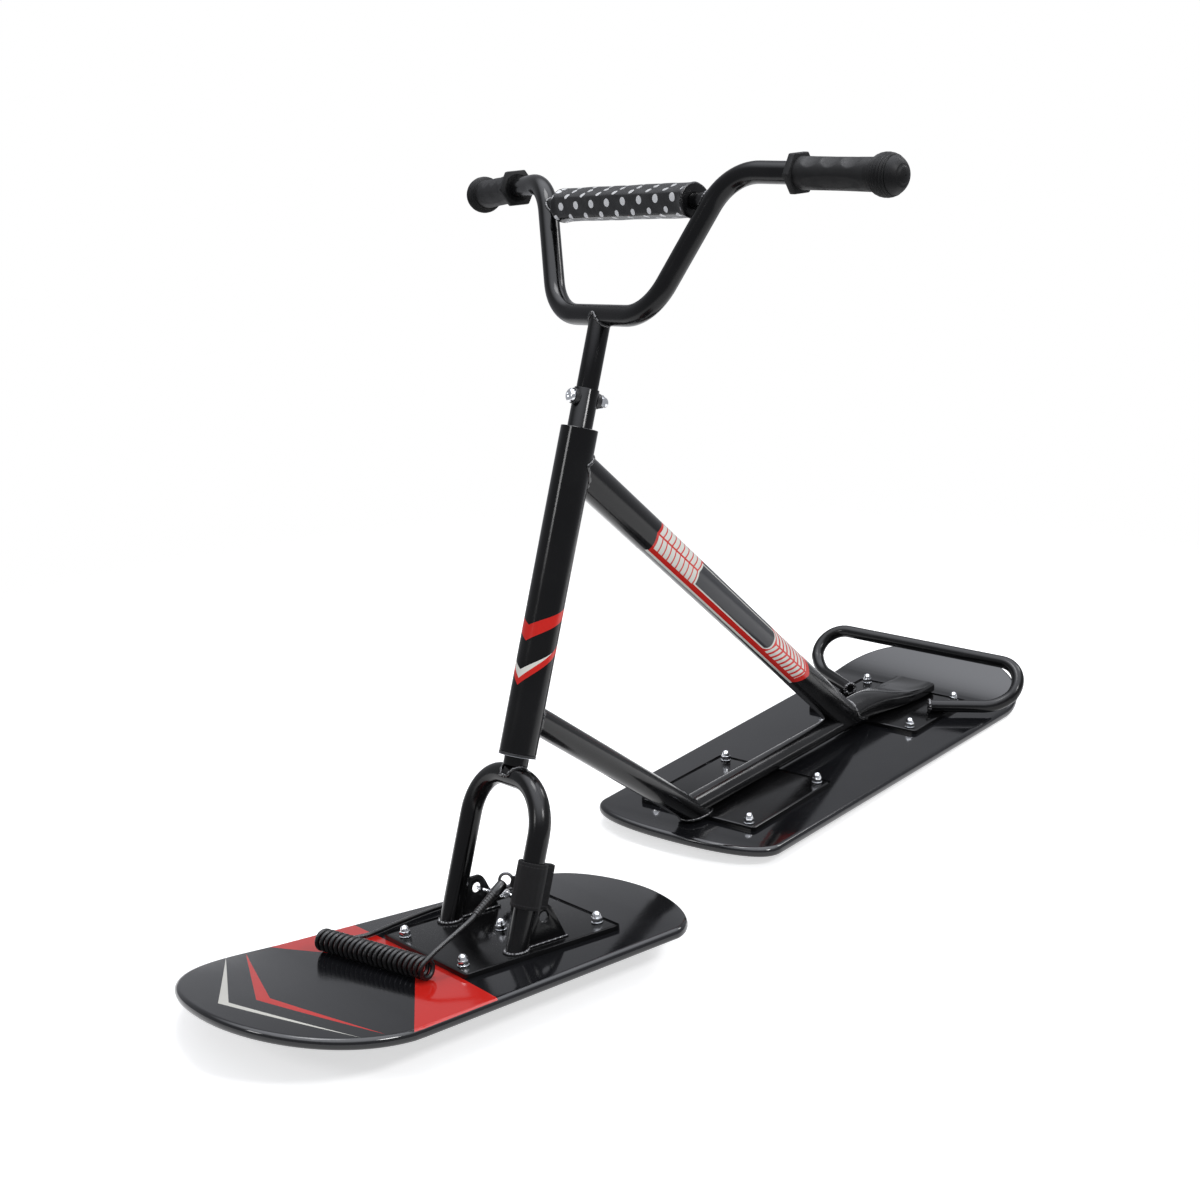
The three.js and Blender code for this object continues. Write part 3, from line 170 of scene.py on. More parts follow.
cord_diameter = 0.005
coil_radius = 0.0094
coil_near = Vector((0.090, 0.058, 0.0242))
coil_far = Vector((0.124, -0.097, 0.0242))
coil_start = radians(-60)
whole_turn = 2 * pi
coil_whole = 21 * whole_turn + radians(150)
coil_steps = ceil(24 * coil_whole / whole_turn)
coil_along = (coil_far - coil_near).normalized()
coil_across = Vector((0, 0, 1)).cross(coil_along).normalized()
upper_stretch = [
    (0.0270, 0.0502, 0.0611), (0.0325, 0.0509, 0.0580), (0.0367, 0.0515, 0.0561), (0.0456, 0.0528, 0.0527),
    (0.0546, 0.0541, 0.0493), (0.0636, 0.0553, 0.0460), (0.0725, 0.0566, 0.0427), (0.0814, 0.0578, 0.0393),
]
on_board = 0.0148
lower_stretch = [(x, y, on_board) for x, y in (
    (0.1103, -0.1010), (0.1013, -0.1011), (0.0924, -0.0996), (0.0837, -0.0974), (0.0748, -0.0960),
    (0.0658, -0.0966), (0.0570, -0.0983), (0.0482, -0.1005), (0.0395, -0.1027), (0.0306, -0.1044),
    (0.0218, -0.1061), (0.0129, -0.1077), (0.0040, -0.1093), (-0.0049, -0.1106), (-0.0139, -0.1116),
    (-0.0229, -0.1121), (-0.0319, -0.1120), (-0.0409, -0.1116), (-0.0499, -0.1107), (-0.0588, -0.1095),
    (-0.0677, -0.1080), (-0.0765, -0.1059),
)] + [
    (-0.0851, -0.1032, 0.0150), (-0.0933, -0.0996, 0.0157), (-0.1009, -0.0949, 0.0168),
    (-0.1050, -0.0915, 0.0177), (-0.1072, -0.0860, 0.0190), (-0.1079, -0.0810, 0.0203),
    (-0.1065, -0.0760, 0.0206), (-0.1035, -0.0725, 0.0206), (-0.0990, -0.0692, 0.0207),
    (-0.0940, -0.0670, 0.0212),
]
cord_points = [Vector(point) for point in upper_stretch]
for step in range(coil_steps + 1):
    turn = coil_whole * step / coil_steps
    angle = coil_start + turn
    cord_points.append(
        coil_near + (coil_far - coil_near) * (step / coil_steps)
        + coil_across * (coil_radius * cos(angle)) - Vector((0, 0, coil_radius * sin(angle)))
    )
cord_points += [Vector(point) for point in lower_stretch]
cord_points = [front_board @ point for point in cord_points]
cord_curve = bpy.data.curves.new("leash_cord", "CURVE")
cord_curve.dimensions = "3D"
cord_curve.bevel_depth = cord_diameter / 2
cord_curve.bevel_resolution = 4
cord_curve.use_fill_caps = True
cord_spline = cord_curve.splines.new("POLY")
cord_spline.points.add(len(cord_points) - 1)
for spot, point in zip(cord_spline.points, cord_points):
    spot.co = (*point, 1)
cord_spline.use_smooth = True
leash_cord = bpy.data.objects.new("leash_cord", cord_curve)
bpy.context.scene.collection.objects.link(leash_cord)
cord_curve.materials.append(cord_rubber)
cord_length = sum((a - b).length for a, b in zip(cord_points, cord_points[1:]))
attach(leash_cord, "steering")
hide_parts("leash_upper_cord", "leash_coil", "leash_lower_cord")


# The moulded ends are turned bodies: a head that closes round a ring, and a ribbed neck that
# tapers down to the cord.
def deselect():
    bpy.ops.object.select_all(action="DESELECT")


def only(piece):
    deselect()
    piece.select_set(True)
    bpy.context.view_layer.objects.active = piece


def settle():
    """Puts the place, turn and size of what is selected into its mesh."""
    bpy.ops.object.transform_apply(location=True, rotation=True, scale=True)


def added():
    """The primitive that was just added, settled."""
    settle()
    return bpy.context.object


def edit_all():
    bpy.ops.object.mode_set(mode="EDIT")
    bpy.ops.mesh.select_all(action="SELECT")


def leave_edit():
    bpy.ops.object.mode_set(mode="OBJECT")


def face_outwards():
    edit_all()
    bpy.ops.mesh.normals_make_consistent(inside=False)
    leave_edit()


def turned_body(profile, sides=48, closed=False):
    """Turns (radius, height) pairs about Z by extruding and resizing a circle.

    A closed profile ends where it starts, and gives a ring or a tube.
    """
    deselect()
    bpy.ops.mesh.primitive_circle_add(
        vertices=sides, radius=profile[0][0], fill_type="NOTHING" if closed else "NGON",
        location=(0, 0, profile[0][1]))
    piece = added()
    edit_all()
    for (radius, height), (wider, higher) in zip(profile, profile[1:]):
        bpy.ops.mesh.extrude_region_move(TRANSFORM_OT_translate={"value": (0, 0, higher - height)})
        if wider != radius:
            growth = wider / radius
            bpy.ops.transform.resize(value=(growth, growth, 1), center_override=(0, 0, higher))
    if closed:
        bpy.ops.mesh.select_all(action="SELECT")
        bpy.ops.mesh.remove_doubles(threshold=0.000001)
    face_outwards()
    return piece


def finish_piece(piece, name, place, body, slot, material, nodes=(), angle=35):
    """Names a piece, puts it in its place in its own mesh and gives it finish and body; its slot is not used.
    """
    only(piece)
    piece.name = name
    piece.data.name = name
    piece.matrix_world = place @ piece.matrix_world
    settle()
    bpy.ops.object.shade_smooth_by_angle(angle=radians(angle))
    piece.data.materials.clear()
    piece.data.materials.append(material)
    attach(piece, body)
    if nodes:
        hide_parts(*nodes)
    return piece


def along_line(start, heading):
    """The place of a turned body that stands at start and points along heading."""
    return Matrix.Translation(start) @ Vector(heading).to_track_quat("Z", "Y").to_matrix().to_4x4()


upper_heading = Vector((0.863, 0.106, -0.493)).normalized()
lower_heading = Vector((-0.912, -0.39, -0.12)).normalized()
upper_face = Vector((0.0281675, 0.0503705, 0.0603728))
lower_face = Vector((-0.0953879, -0.0675119, 0.0211442))
upper_profile = [(0.0030, 0), (0.0048, 0.0008), (0.0055, 0.0030), (0.0055, 0.0120), (0.0050, 0.0150)]
for rib in range(9):
    rise = 0.0150 + 0.0030 * rib
    wide = 0.0049 - 0.00011 * rib
    upper_profile += [(wide, rise + 0.0004), (wide, rise + 0.0018), (wide - 0.0006, rise + 0.0022),
                      (wide - 0.0006, rise + 0.0028)]
upper_profile += [(0.0037, 0.0425), (0.0034, 0.0437), (0.0027, 0.0440)]
upper_end = turned_body(upper_profile, 32)
upper_place = front_board @ along_line(upper_face - upper_heading * 0.0443, upper_heading)
finish_piece(upper_end, "leash_upper_end", upper_place, "steering", "cord_rubber", cord_rubber,
             ["leash_upper_moulding"], 50)
lower_profile = [(0.0030, 0), (0.0048, 0.0008), (0.0055, 0.0026), (0.0055, 0.0060), (0.0048, 0.0075)]
for rib in range(3):
    rise = 0.0076 + 0.0024 * rib
    wide = 0.0046 - 0.0003 * rib
    lower_profile += [(wide, rise + 0.0003), (wide, rise + 0.0014), (wide - 0.0006, rise + 0.0017),
                      (wide - 0.0006, rise + 0.0022)]
lower_profile += [(0.0035, 0.0155), (0.0027, 0.0160)]
lower_end = turned_body(lower_profile, 32)
lower_place = front_board @ along_line(lower_face - lower_heading * 0.0163, lower_heading)
finish_piece(lower_end, "leash_lower_end", lower_place, "steering", "cord_rubber", cord_rubber,
             ["leash_lower_moulding"], 50)
tuple(cord_points[0])

# ---- Studio ----
# A pale floor that fades out at its edges, four soft lamps and a plain white background. The
# floor keeps the scooter's shadow, and shows as white to the camera and in reflections.
white_floor, tree, shader = fresh_material("pale_floor", roughness=0.9)
floor_noise = new_node(tree, "ShaderNodeTexNoise", {"Scale": 2.0})
tree.links.new(paint_over(tree, floor_noise.outputs["Fac"], (0.91, 0.91, 0.91), (0.93, 0.93, 0.93)),
               shader.inputs["Base Color"])
floor_place = new_node(tree, "ShaderNodeTexCoord").outputs["Object"]
from_middle = new_node(tree, "ShaderNodeVectorMath", {0: floor_place}, operation="LENGTH")
fade = new_node(tree, "ShaderNodeMapRange", {
    "Value": from_middle.outputs["Value"], "From Min": 0.75, "From Max": 1.5, "To Min": 1.0, "To Max": 0.0},
    interpolation_type="SMOOTHERSTEP")
tree.links.new(fade.outputs["Result"], shader.inputs["Alpha"])
floor_ray = new_node(tree, "ShaderNodeLightPath")
floor_seen = reckon(tree, "MAXIMUM", floor_ray.outputs["Is Camera Ray"], floor_ray.outputs["Is Glossy Ray"])
shader.inputs["Emission Color"].default_value = (1, 1, 1, 1)
tree.links.new(reckon(tree, "MULTIPLY", floor_seen, 0.6), shader.inputs["Emission Strength"])
deselect()
bpy.ops.mesh.primitive_plane_add(size=3.2, location=(0, 0, -0.0006))
studio_floor = bpy.context.object
studio_floor.name = "studio_floor"
studio_floor.data.materials.append(white_floor)

world = bpy.data.worlds.new("studio")
bpy.context.scene.world = world
world.use_nodes = True
tree = world.node_tree
plain_light = tree.nodes["Background"]
plain_light.inputs["Color"].default_value = (0.92, 0.94, 1.0, 1)
white_back = new_node(tree, "ShaderNodeBackground", {"Color": (1, 1, 1, 1), "Strength": 1.0})
ray = new_node(tree, "ShaderNodeLightPath")
# reflections find a brighter ceiling overhead, which draws the lights along the tubes
way = new_node(tree, "ShaderNodeTexCoord").outputs["Generated"]
way_up = new_node(tree, "ShaderNodeSeparateXYZ", {0: way})
ceiling = new_node(tree, "ShaderNodeMapRange", {
    "Value": way_up.outputs["Z"], "From Min": 0.5, "From Max": 0.95, "To Min": 0.0, "To Max": 4.0},
    interpolation_type="SMOOTHSTEP")
reflected = reckon(tree, "MULTIPLY", ceiling.outputs["Result"], ray.outputs["Is Glossy Ray"])
tree.links.new(reckon(tree, "ADD", 0.45, reflected), plain_light.inputs["Strength"])
seen = reckon(tree, "MAXIMUM", ray.outputs["Is Camera Ray"], ray.outputs["Is Transmission Ray"])
both = new_node(tree, "ShaderNodeMixShader", {0: seen, 1: plain_light.outputs[0], 2: white_back.outputs[0]})
tree.links.new(both.outputs[0], tree.nodes["World Output"].inputs["Surface"])

for name, spot, aim, power, size in (
    ("key_lamp", (0.4, 2.2, 2.2), (0, 0, 0.3), 27, 0.5),
    ("front_lamp", (2.6, -1.0, 1.6), (0.1, 0, 0.3), 10, 0.5),
    ("rear_lamp", (-2.2, 0.8, 2.0), (-0.2, 0, 0.2), 13, 0.7),
    ("top_lamp", (0.0, -0.5, 2.8), (0, 0, 0), 17, 0.8),
):
    lamp_data = bpy.data.lights.new(name, "AREA")
    lamp_data.energy = power
    lamp_data.size = size
    lamp = bpy.data.objects.new(name, lamp_data)
    bpy.context.scene.collection.objects.link(lamp)
    facing = (Vector(aim) - Vector(spot)).to_track_quat("-Z", "Y")
    lamp.matrix_world = Matrix.Translation(spot) @ facing.to_matrix().to_4x4()
bpy.context.scene.view_settings.view_transform = "Standard"

# ---- Front board ----
# A short broad ski of laminated wood with a rounded bullnose edge and an upturned tip. Its top is
# a glossy printed sheet under clear lacquer: black with a white and a red chevron and red panels.


def board_outline(tail, nose, count=48):
    """A closed outline; each end has its tip, its shoulder, a half width and the power of its curve."""
    ends = []
    for tip, shoulder, wide, power in (tail, nose):
        arc = []
        for step in range(count + 1):
            angle = pi / 2 * step / count
            arc.append((shoulder + (tip - shoulder) * max(cos(angle), 0) ** (2 / power),
                        wide * sin(angle) ** (2 / power)))
        ends.append(arc)
    side = ends[0] + ends[1][::-1]
    return side + [(x, -y) for x, y in side[-2:0:-1]]


def bent_board(outline, thickness, rise_at, cuts):
    """A board with rounded edges, cut across at these places and then raised along its length."""
    deselect()
    bpy.ops.mesh.primitive_circle_add(vertices=len(outline), radius=1, fill_type="NGON")
    board = bpy.context.object
    for vertex, (x, y) in zip(board.data.vertices, outline):
        vertex.co = (x, y, 0)
    bpy.ops.object.mode_set(mode="EDIT")
    bpy.ops.mesh.select_mode(type="EDGE")
    bpy.ops.mesh.select_all(action="SELECT")
    bpy.ops.mesh.extrude_region_move(TRANSFORM_OT_translate={"value": (0, 0, thickness)})
    bpy.ops.mesh.select_all(action="DESELECT")
    leave_edit()
    for edge in board.data.edges:
        ends = [board.data.vertices[i].co.z for i in edge.vertices]
        edge.select = abs(ends[0] - ends[1]) < 1e-6
    bpy.ops.object.mode_set(mode="EDIT")
    bpy.ops.mesh.bevel(offset=thickness * 0.47, segments=6, profile=0.5, affect="EDGES", clamp_overlap=False)
    for place in cuts:
        bpy.ops.mesh.select_all(action="SELECT")
        bpy.ops.mesh.bisect(plane_co=(place, 0, 0), plane_no=(1, 0, 0))
    face_outwards()
    for vertex in board.data.vertices:
        vertex.co.z += rise_at(vertex.co.x)
    return board


board_thickness = 0.012
tip_start, tip_length = 0.150, 0.161
ski = bent_board(
    board_outline((-0.213, -0.157, 0.1245, 1.85), (0.311, 0.161, 0.1545, 2.15)), board_thickness,
    lambda x: 0.0265 * (max(x - tip_start, 0) / tip_length) ** 1.6,
    [tip_start + tip_length * step / 16 for step in range(16)],
)

# A mark with two swept arms: what lies between an outer and an inner edge that fall off sideways
mark_edges = ("Outer", "Outer Slope", "Inner", "Inner Slope")
swept_mark, mark_in, mark_out = new_group("swept_mark", ("Along", "Aside", *mark_edges), ("Mask",))
edges = []
for edge, slope, test in (("Outer", "Outer Slope", "LESS_THAN"), ("Inner", "Inner Slope", "GREATER_THAN")):
    fall = reckon(swept_mark, "MULTIPLY", mark_in.outputs["Aside"], mark_in.outputs[slope])
    line = reckon(swept_mark, "SUBTRACT", mark_in.outputs[edge], fall)
    edges.append(reckon(swept_mark, test, mark_in.outputs["Along"], line))
swept_mark.links.new(reckon(swept_mark, "MULTIPLY", *edges), mark_out.inputs["Mask"])


def print_mark(tree, along, aside, zone, mark, colour, ink):
    """Paints one swept mark, given by its edges in metres and their slopes, inside a zone."""
    sizes = dict(zip(mark_edges, mark))
    node = new_node(tree, "ShaderNodeGroup", {"Along": along, "Aside": aside, **sizes}, node_tree=swept_mark)
    return paint_over(tree, reckon(tree, "MULTIPLY", node.outputs["Mask"], zone), colour, ink)


def lacquer(name, place, marks):
    """The printed sheet under lacquer, with its marks on the board's top side alone."""
    def prints(tree, vector, colour):
        apart = new_node(tree, "ShaderNodeSeparateXYZ", {0: vector})
        aside = reckon(tree, "ABSOLUTE", apart.outputs["Y"])
        normal = new_node(tree, "ShaderNodeNewGeometry").outputs["Normal"]
        facing = new_node(tree, "ShaderNodeSeparateXYZ", {0: normal})
        upper = reckon(tree, "GREATER_THAN", facing.outputs["Z"], 0.75)
        for ink, mark in marks:
            colour = print_mark(tree, apart.outputs["X"], aside, upper, mark, colour, ink)
        return colour

    return skinned(name, place, 260, 7, (0.0075, 0.0078, 0.0092), (0.0105, 0.0108, 0.0125),
                   gloss=(0.08, 0.16), bump=(0.05, 0.0004), specular=0.45, prints=prints)


sign_red = (0.66, 0.020, 0.014)
off_white = (0.78, 0.77, 0.71)
ski_sheet = lacquer("front_board_sheet", front_board, [
    (sign_red, (0.073, -0.58, 0.062, -0.03)),
    (sign_red, (0.2455, 0.394, 0.2315, 0.298)),
    (off_white, (0.284, 0.51, 0.2735, 0.437)),
])
finish_piece(ski, "front_board_dressed", front_board, "steering", "lacquered_board", ski_sheet, ["front_ski"])

# ---- Rear board ----
# The long laminated board that the rider stands on, of the same make, with a squarer nose and a
# kicked-up tail.
tail_start, tail_length = -0.933, 0.098
nose_start, nose_length = -0.3705, 0.033
deck = bent_board(
    board_outline((-1.031, tail_start, 0.132, 2.45), (-0.3375, -0.3875, 0.122, 2.2)), board_thickness,
    lambda x: 0.0024 * (max(x - nose_start, 0) / nose_length) ** 1.7
    + 0.035 * (max(tail_start - x, 0) / tail_length) ** 1.7,
    [tail_start - tail_length * step / 14 for step in range(14)]
    + [nose_start + nose_length * step / 4 for step in range(4)],
)
deck_sheet = lacquer("rear_board_sheet", chassis, [])
finish_piece(deck, "rear_board_dressed", chassis, "chassis", "lacquered_board", deck_sheet, ["rear_board"])

# ---- Frame tubes ----
# Steel tubes, bent and coped, welded together and dipped in gloss black enamel: the raked head
# tube, the big top tube, the lower tube, and the beam that is flattened at its rear end.


def enamel(name, place, prints=None, specular=0.24):
    return skinned(name, place, 420, 14, (0.0035, 0.0035, 0.0038), (0.0062, 0.0062, 0.0066),
                   gloss=(0.13, 0.26), bump=(0.07, 0.0004), specular=specular, prints=prints)


def around_tube(tree, vector):
    """The angle round a tube in degrees, from its own X, and the way along it in metres."""
    apart = new_node(tree, "ShaderNodeSeparateXYZ", {0: vector})
    angle = reckon(tree, "ARCTAN2", apart.outputs["Y"], apart.outputs["X"])
    return reckon(tree, "MULTIPLY", angle, 180 / pi), apart.outputs["Z"]


def head_chevrons(tree, vector, colour):
    """A broad red chevron, and below it a white one over a red one."""
    angle, along = around_tube(tree, vector)
    aside = reckon(tree, "ABSOLUTE", reckon(tree, "ADD", angle, 8.0))
    front_side = reckon(tree, "LESS_THAN", aside, 125.0)
    for ink, mark in (
        (sign_red, (0.334, -0.000182, 0.318, -0.00022)),
        (sign_red, (0.280, -0.000317, 0.273, -0.000307)),
        (off_white, (0.2888, -0.000226, 0.280, -0.000317)),
    ):
        colour = print_mark(tree, along, aside, front_side, mark, colour, ink)
    return colour


def tube_between(start, end, radius, sides=48):
    """A straight round bar between two points."""
    deselect()
    middle = (start + end) / 2
    bpy.ops.mesh.primitive_cylinder_add(
        vertices=sides, radius=radius, depth=(end - start).length, location=middle,
        rotation=(end - start).to_track_quat("Z", "Y").to_euler())
    return added()


def block(middle, size):
    deselect()
    bpy.ops.mesh.primitive_cube_add(size=1, location=middle, scale=size)
    return added()


def cut_from(piece, *tools):
    """Cuts each tool out of the piece and takes the tool away."""
    for tool in tools:
        only(piece)
        modifier = piece.modifiers.new("cut", "BOOLEAN")
        modifier.operation = "DIFFERENCE"
        modifier.solver = "EXACT"
        modifier.object = tool
        bpy.ops.object.modifier_apply(modifier=modifier.name)
        bpy.data.objects.remove(tool)
    return piece


def soften_edges(piece, width, angle=40, segments=2):
    only(piece)
    modifier = piece.modifiers.new("soften", "BEVEL")
    modifier.width = width
    modifier.segments = segments
    modifier.limit_method = "ANGLE"
    modifier.angle_limit = radians(angle)
    bpy.ops.object.modifier_apply(modifier=modifier.name)
    return piece


def set_out(across, aside, along, start):
    """The place whose X, Y and Z point in these three directions."""
    place = Matrix((across, aside, along)).transposed().to_4x4()
    place.translation = start
    return place


def up_the_head(along):
    """A point on the steering axis, in the frame of the rear part."""
    return rake @ Vector((0, 0, along))


black_enamel = enamel("black_enamel", chassis)


def enamelled(piece, node, place, body, material=black_enamel, name=None):
    """Finishes a steel piece that takes the place of one node."""
    return finish_piece(piece, name or node + "_dressed", place, body, "black_paint", material, [node])


head_radius = 0.01905
head_tube = turned_body([
    (0.0176, 0.205), (0.0186, 0.205), (head_radius, 0.2055), (head_radius, 0.5365), (0.0186, 0.537),
    (0.0169, 0.537), (0.01655, 0.5365), (0.01655, 0.206), (0.0169, 0.205), (0.0176, 0.205),
], 72, closed=True)
enamelled(head_tube, "head_tube", head, "chassis", enamel("head_tube_enamel", head, head_chevrons))

top_start = up_the_head(0.5005)
beam_axis = 0.0293
top_foot = Vector((-0.742, 0, beam_axis))
top_run = (top_foot - top_start).normalized()
top_across = Vector((0, 1, 0))
top_place = set_out(top_across.cross(top_run), top_across, top_run, top_start)


def wrapped_print(tree, vector, colour):
    """Two blocks of white slats on red, a grey panel between them, and stripes below."""
    angle, along = around_tube(tree, vector)
    aside = reckon(tree, "ABSOLUTE", angle)
    from_spine = reckon(tree, "ABSOLUTE", reckon(tree, "SUBTRACT", aside, 93.0))

    def past(value, low):
        return reckon(tree, "GREATER_THAN", value, low)

    def short_of(value, high):
        return reckon(tree, "LESS_THAN", value, high)

    def both(*masks):
        whole = masks[0]
        for mask in masks[1:]:
            whole = reckon(tree, "MULTIPLY", whole, mask)
        return whole

    def within(value, low, high):
        return both(past(value, low), short_of(value, high))

    sweep = reckon(tree, "MULTIPLY", from_spine, 0.0002)
    swept_on = reckon(tree, "SUBTRACT", along, sweep)
    swept_back = reckon(tree, "ADD", along, sweep)
    wrap = both(past(swept_on, 0.1565), short_of(swept_back, 0.5665), within(aside, 14.0, 160.0))
    colour = paint_over(tree, wrap, colour, sign_red)
    rows = reckon(tree, "MAXIMUM", within(aside, 20.0, 90.0), within(aside, 96.0, 139.5))
    for place, low, high, share in ((swept_on, 0.1610, 0.2545, 0.78), (swept_back, 0.4700, 0.5560, 0.60)):
        stripe = reckon(tree, "FRACT", reckon(tree, "DIVIDE", reckon(tree, "SUBTRACT", place, low), 0.0106))
        slats = both(rows, within(place, low, high), short_of(stripe, share))
        colour = paint_over(tree, slats, colour, off_white)
    # the panel's rear end is rounded, its front end follows the slats
    end_curve = reckon(tree, "POWER", reckon(tree, "DIVIDE", from_spine, 42.0), 4.0)
    round_end = reckon(tree, "ADD", along, reckon(tree, "MULTIPLY", end_curve, 0.010))
    for low, high, top, bottom, ink in (
        (0.2565, 0.4640, 54.0, 137.0, off_white),
        (0.2600, 0.4605, 58.0, 132.0, (0.040, 0.041, 0.045)),
    ):
        panel = both(past(swept_on, low), short_of(round_end, high), within(aside, top, bottom))
        colour = paint_over(tree, panel, colour, ink)
    over_panel = both(within(aside, 14.0, 54.0), past(swept_on, 0.2600), short_of(swept_back, 0.4640))
    colour = paint_over(tree, over_panel, colour, (0.006, 0.006, 0.0065))
    stripe = both(within(aside, 158.0, 168.0), within(along, 0.168, 0.555))
    return paint_over(tree, stripe, colour, off_white)


# the tube's ends are coped round the head tube and the beam
top_tube = tube_between(top_start, top_foot + top_run * 0.045, head_radius, 72)
floor_block = block((top_foot.x, 0, -0.0207), (0.4, 0.1, 0.1))
head_tool = tube_between(up_the_head(0.44), up_the_head(0.56), 0.0178, 64)
beam_tool = tube_between(Vector((-0.60, 0, beam_axis)), Vector((-0.80, 0, beam_axis)), 0.0120, 48)
cut_from(top_tube, head_tool, beam_tool, floor_block)
enamelled(top_tube, "top_tube", chassis, "chassis",
          enamel("top_tube_enamel", chassis @ top_place, wrapped_print))

low_start = up_the_head(0.2456)
plate_top = 0.0166
low_foot = Vector((-0.398, 0, plate_top))
low_run = (low_foot - low_start).normalized()
lower_tube = tube_between(low_start, low_foot + low_run * 0.04, 0.0143, 64)
head_tool = tube_between(up_the_head(0.20), up_the_head(0.30), 0.0178, 64)
floor_block = block((low_foot.x, 0, -0.0337), (0.3, 0.1, 0.1))
cut_from(lower_tube, head_tool, floor_block)
enamelled(lower_tube, "lower_tube", chassis, "chassis")

# The beam: a thin round tube, and a wider one behind the top tube's foot that is pressed flat.
# Each step has its place, half width and half height, and the power of its rounding.
beam_radius = 0.0183
thin_radius = 0.0127
beam_steps = [(-0.385, thin_radius, thin_radius, 2.0), (-0.740, thin_radius, thin_radius, 2.0),
              (-0.741, beam_radius, beam_radius, 2.0)]
for step in range(1, 17):
    share = step / 16
    eased = min(max((share - 0.15) / 0.71, 0), 1)
    eased = eased * eased * (3 - 2 * eased)
    beam_steps.append((-0.741 - 0.185 * share, beam_radius + 0.0107 * eased, beam_radius - 0.0113 * eased,
                       2 + 3 * eased))
deselect()
bpy.ops.mesh.primitive_circle_add(
    vertices=64, radius=1, fill_type="NGON", location=(0, 0, 0), rotation=(0, radians(-90), 0))
beam = added()
edit_all()
for step in range(len(beam_steps) - 1):
    bpy.ops.mesh.extrude_region_move(TRANSFORM_OT_translate={"value": (-1, 0, 0)})
leave_edit()
for vertex in beam.data.vertices:
    x, wide, tall, power = beam_steps[round(-vertex.co.x)]
    side, rise = vertex.co.y, vertex.co.z
    # small hammered hollows in the pressed top
    press = 0.0011 * sin(95 * (x + 0.80)) * cos(70 * side) * max(rise, 0) * (power - 2) / 3
    vertex.co = (
        x, wide * abs(side) ** (2 / power) * (1 if side > 0 else -1),
        plate_top + tall + tall * abs(rise) ** (2 / power) * (1 if rise > 0 else -1) - press)
only(beam)
edit_all()
bpy.ops.mesh.normals_make_consistent(inside=False)
bpy.ops.mesh.select_all(action="DESELECT")
leave_edit()
# the pressed end is open: its rear face is narrowed and pushed inwards
for face in beam.data.polygons:
    face.select = face.center.x < -0.9255 and len(face.vertices) > 8
bpy.ops.object.mode_set(mode="EDIT")
bpy.ops.mesh.inset(thickness=0.0018)
bpy.ops.mesh.extrude_region_move(TRANSFORM_OT_translate={"value": (0.03, 0, 0)})
leave_edit()
cut_from(beam, tube_between(low_start, low_foot + low_run * 0.04, 0.0138, 48))
only(beam)
face_outwards()
enamelled(beam, "beam", chassis, "chassis", enamel("beam_enamel", chassis, specular=0.5))

# Weld beads: small overlapping ripples of steel round each joint, under shinier enamel
weld_enamel = enamel("weld_enamel", chassis, specular=0.9)
ripple = 0.0026


def weld_bead(name, points, thickness, place, body):
    """A closed bead of weld through these points, thicker and thinner with its ripples."""
    curve = bpy.data.curves.new(name, "CURVE")
    curve.dimensions = "3D"
    curve.bevel_depth = thickness
    curve.bevel_resolution = 2
    run = 0
    spline = curve.splines.new("POLY")
    spline.points.add(len(points) - 1)
    spline.use_cyclic_u = True
    for i, point in enumerate(points):
        run += (point - points[i - 1]).length if i else 0
        spline.points[i].co = (*point, 1)
        spline.points[i].radius = 1 + 0.2 * sin(whole_turn * run / ripple) + 0.12 * sin(900 * run + 2)
    bead = bpy.data.objects.new(name, curve)
    bpy.context.scene.collection.objects.link(bead)
    only(bead)
    bpy.ops.object.convert(target="MESH")
    return finish_piece(bpy.context.object, name, place, body, "black_paint", weld_enamel, angle=60)


def meet_tube(base, axis, radius):
    """Carries a point along its heading on to a round tube."""
    def meet(point, heading):
        across = point - base
        a = heading - axis * heading.dot(axis)
        b = across - axis * across.dot(axis)
        half = a.dot(b)
        inside = half * half - a.dot(a) * (b.dot(b) - radius * radius)
        return point + heading * ((-half - sqrt(max(inside, 0))) / a.dot(a))
    return meet


def meet_level(height):
    """Carries a point along its heading on to a level face."""
    return lambda point, heading: point + heading * ((height - point.z) / heading.z)


def joint_line(start, heading, radius, meet, count=90):
    """The closed line in which a tube of this radius meets what it is welded to."""
    side = heading.orthogonal().normalized() * radius
    other = heading.normalized().cross(side)
    line = []
    for step in range(count):
        angle = whole_turn * step / count
        line.append(meet(start + side * cos(angle) + other * sin(angle), heading))
    return line


on_head = meet_tube(Vector((0, 0, 0)), up_the_head(1), 0.01915)
on_top_tube = meet_tube(top_foot, top_run, 0.0192)
for name, start, heading, radius, meet, thickness in (
    ("weld_top_tube_head", top_start + top_run * 0.2, -top_run, 0.0192, on_head, 0.0021),
    ("weld_lower_tube_head", low_start + low_run * 0.2, -low_run, 0.0145, on_head, 0.0019),
    ("weld_lower_tube_foot", low_start, low_run, 0.0143, meet_level(0.0175), 0.0018),
    ("weld_beam_foot", Vector((-0.80, 0, 0.0350)), Vector((1, 0, 0)), 0.0184, on_top_tube, 0.0022),
):
    weld_bead(name, joint_line(start, heading, radius, meet), thickness, chassis, "chassis")

# ---- Tail hoop ----
# A thin bent tube behind the rider's foot. Its two legs are welded beside the beam, run out and
# back to the edges of the board, and turn up into a raised rail.


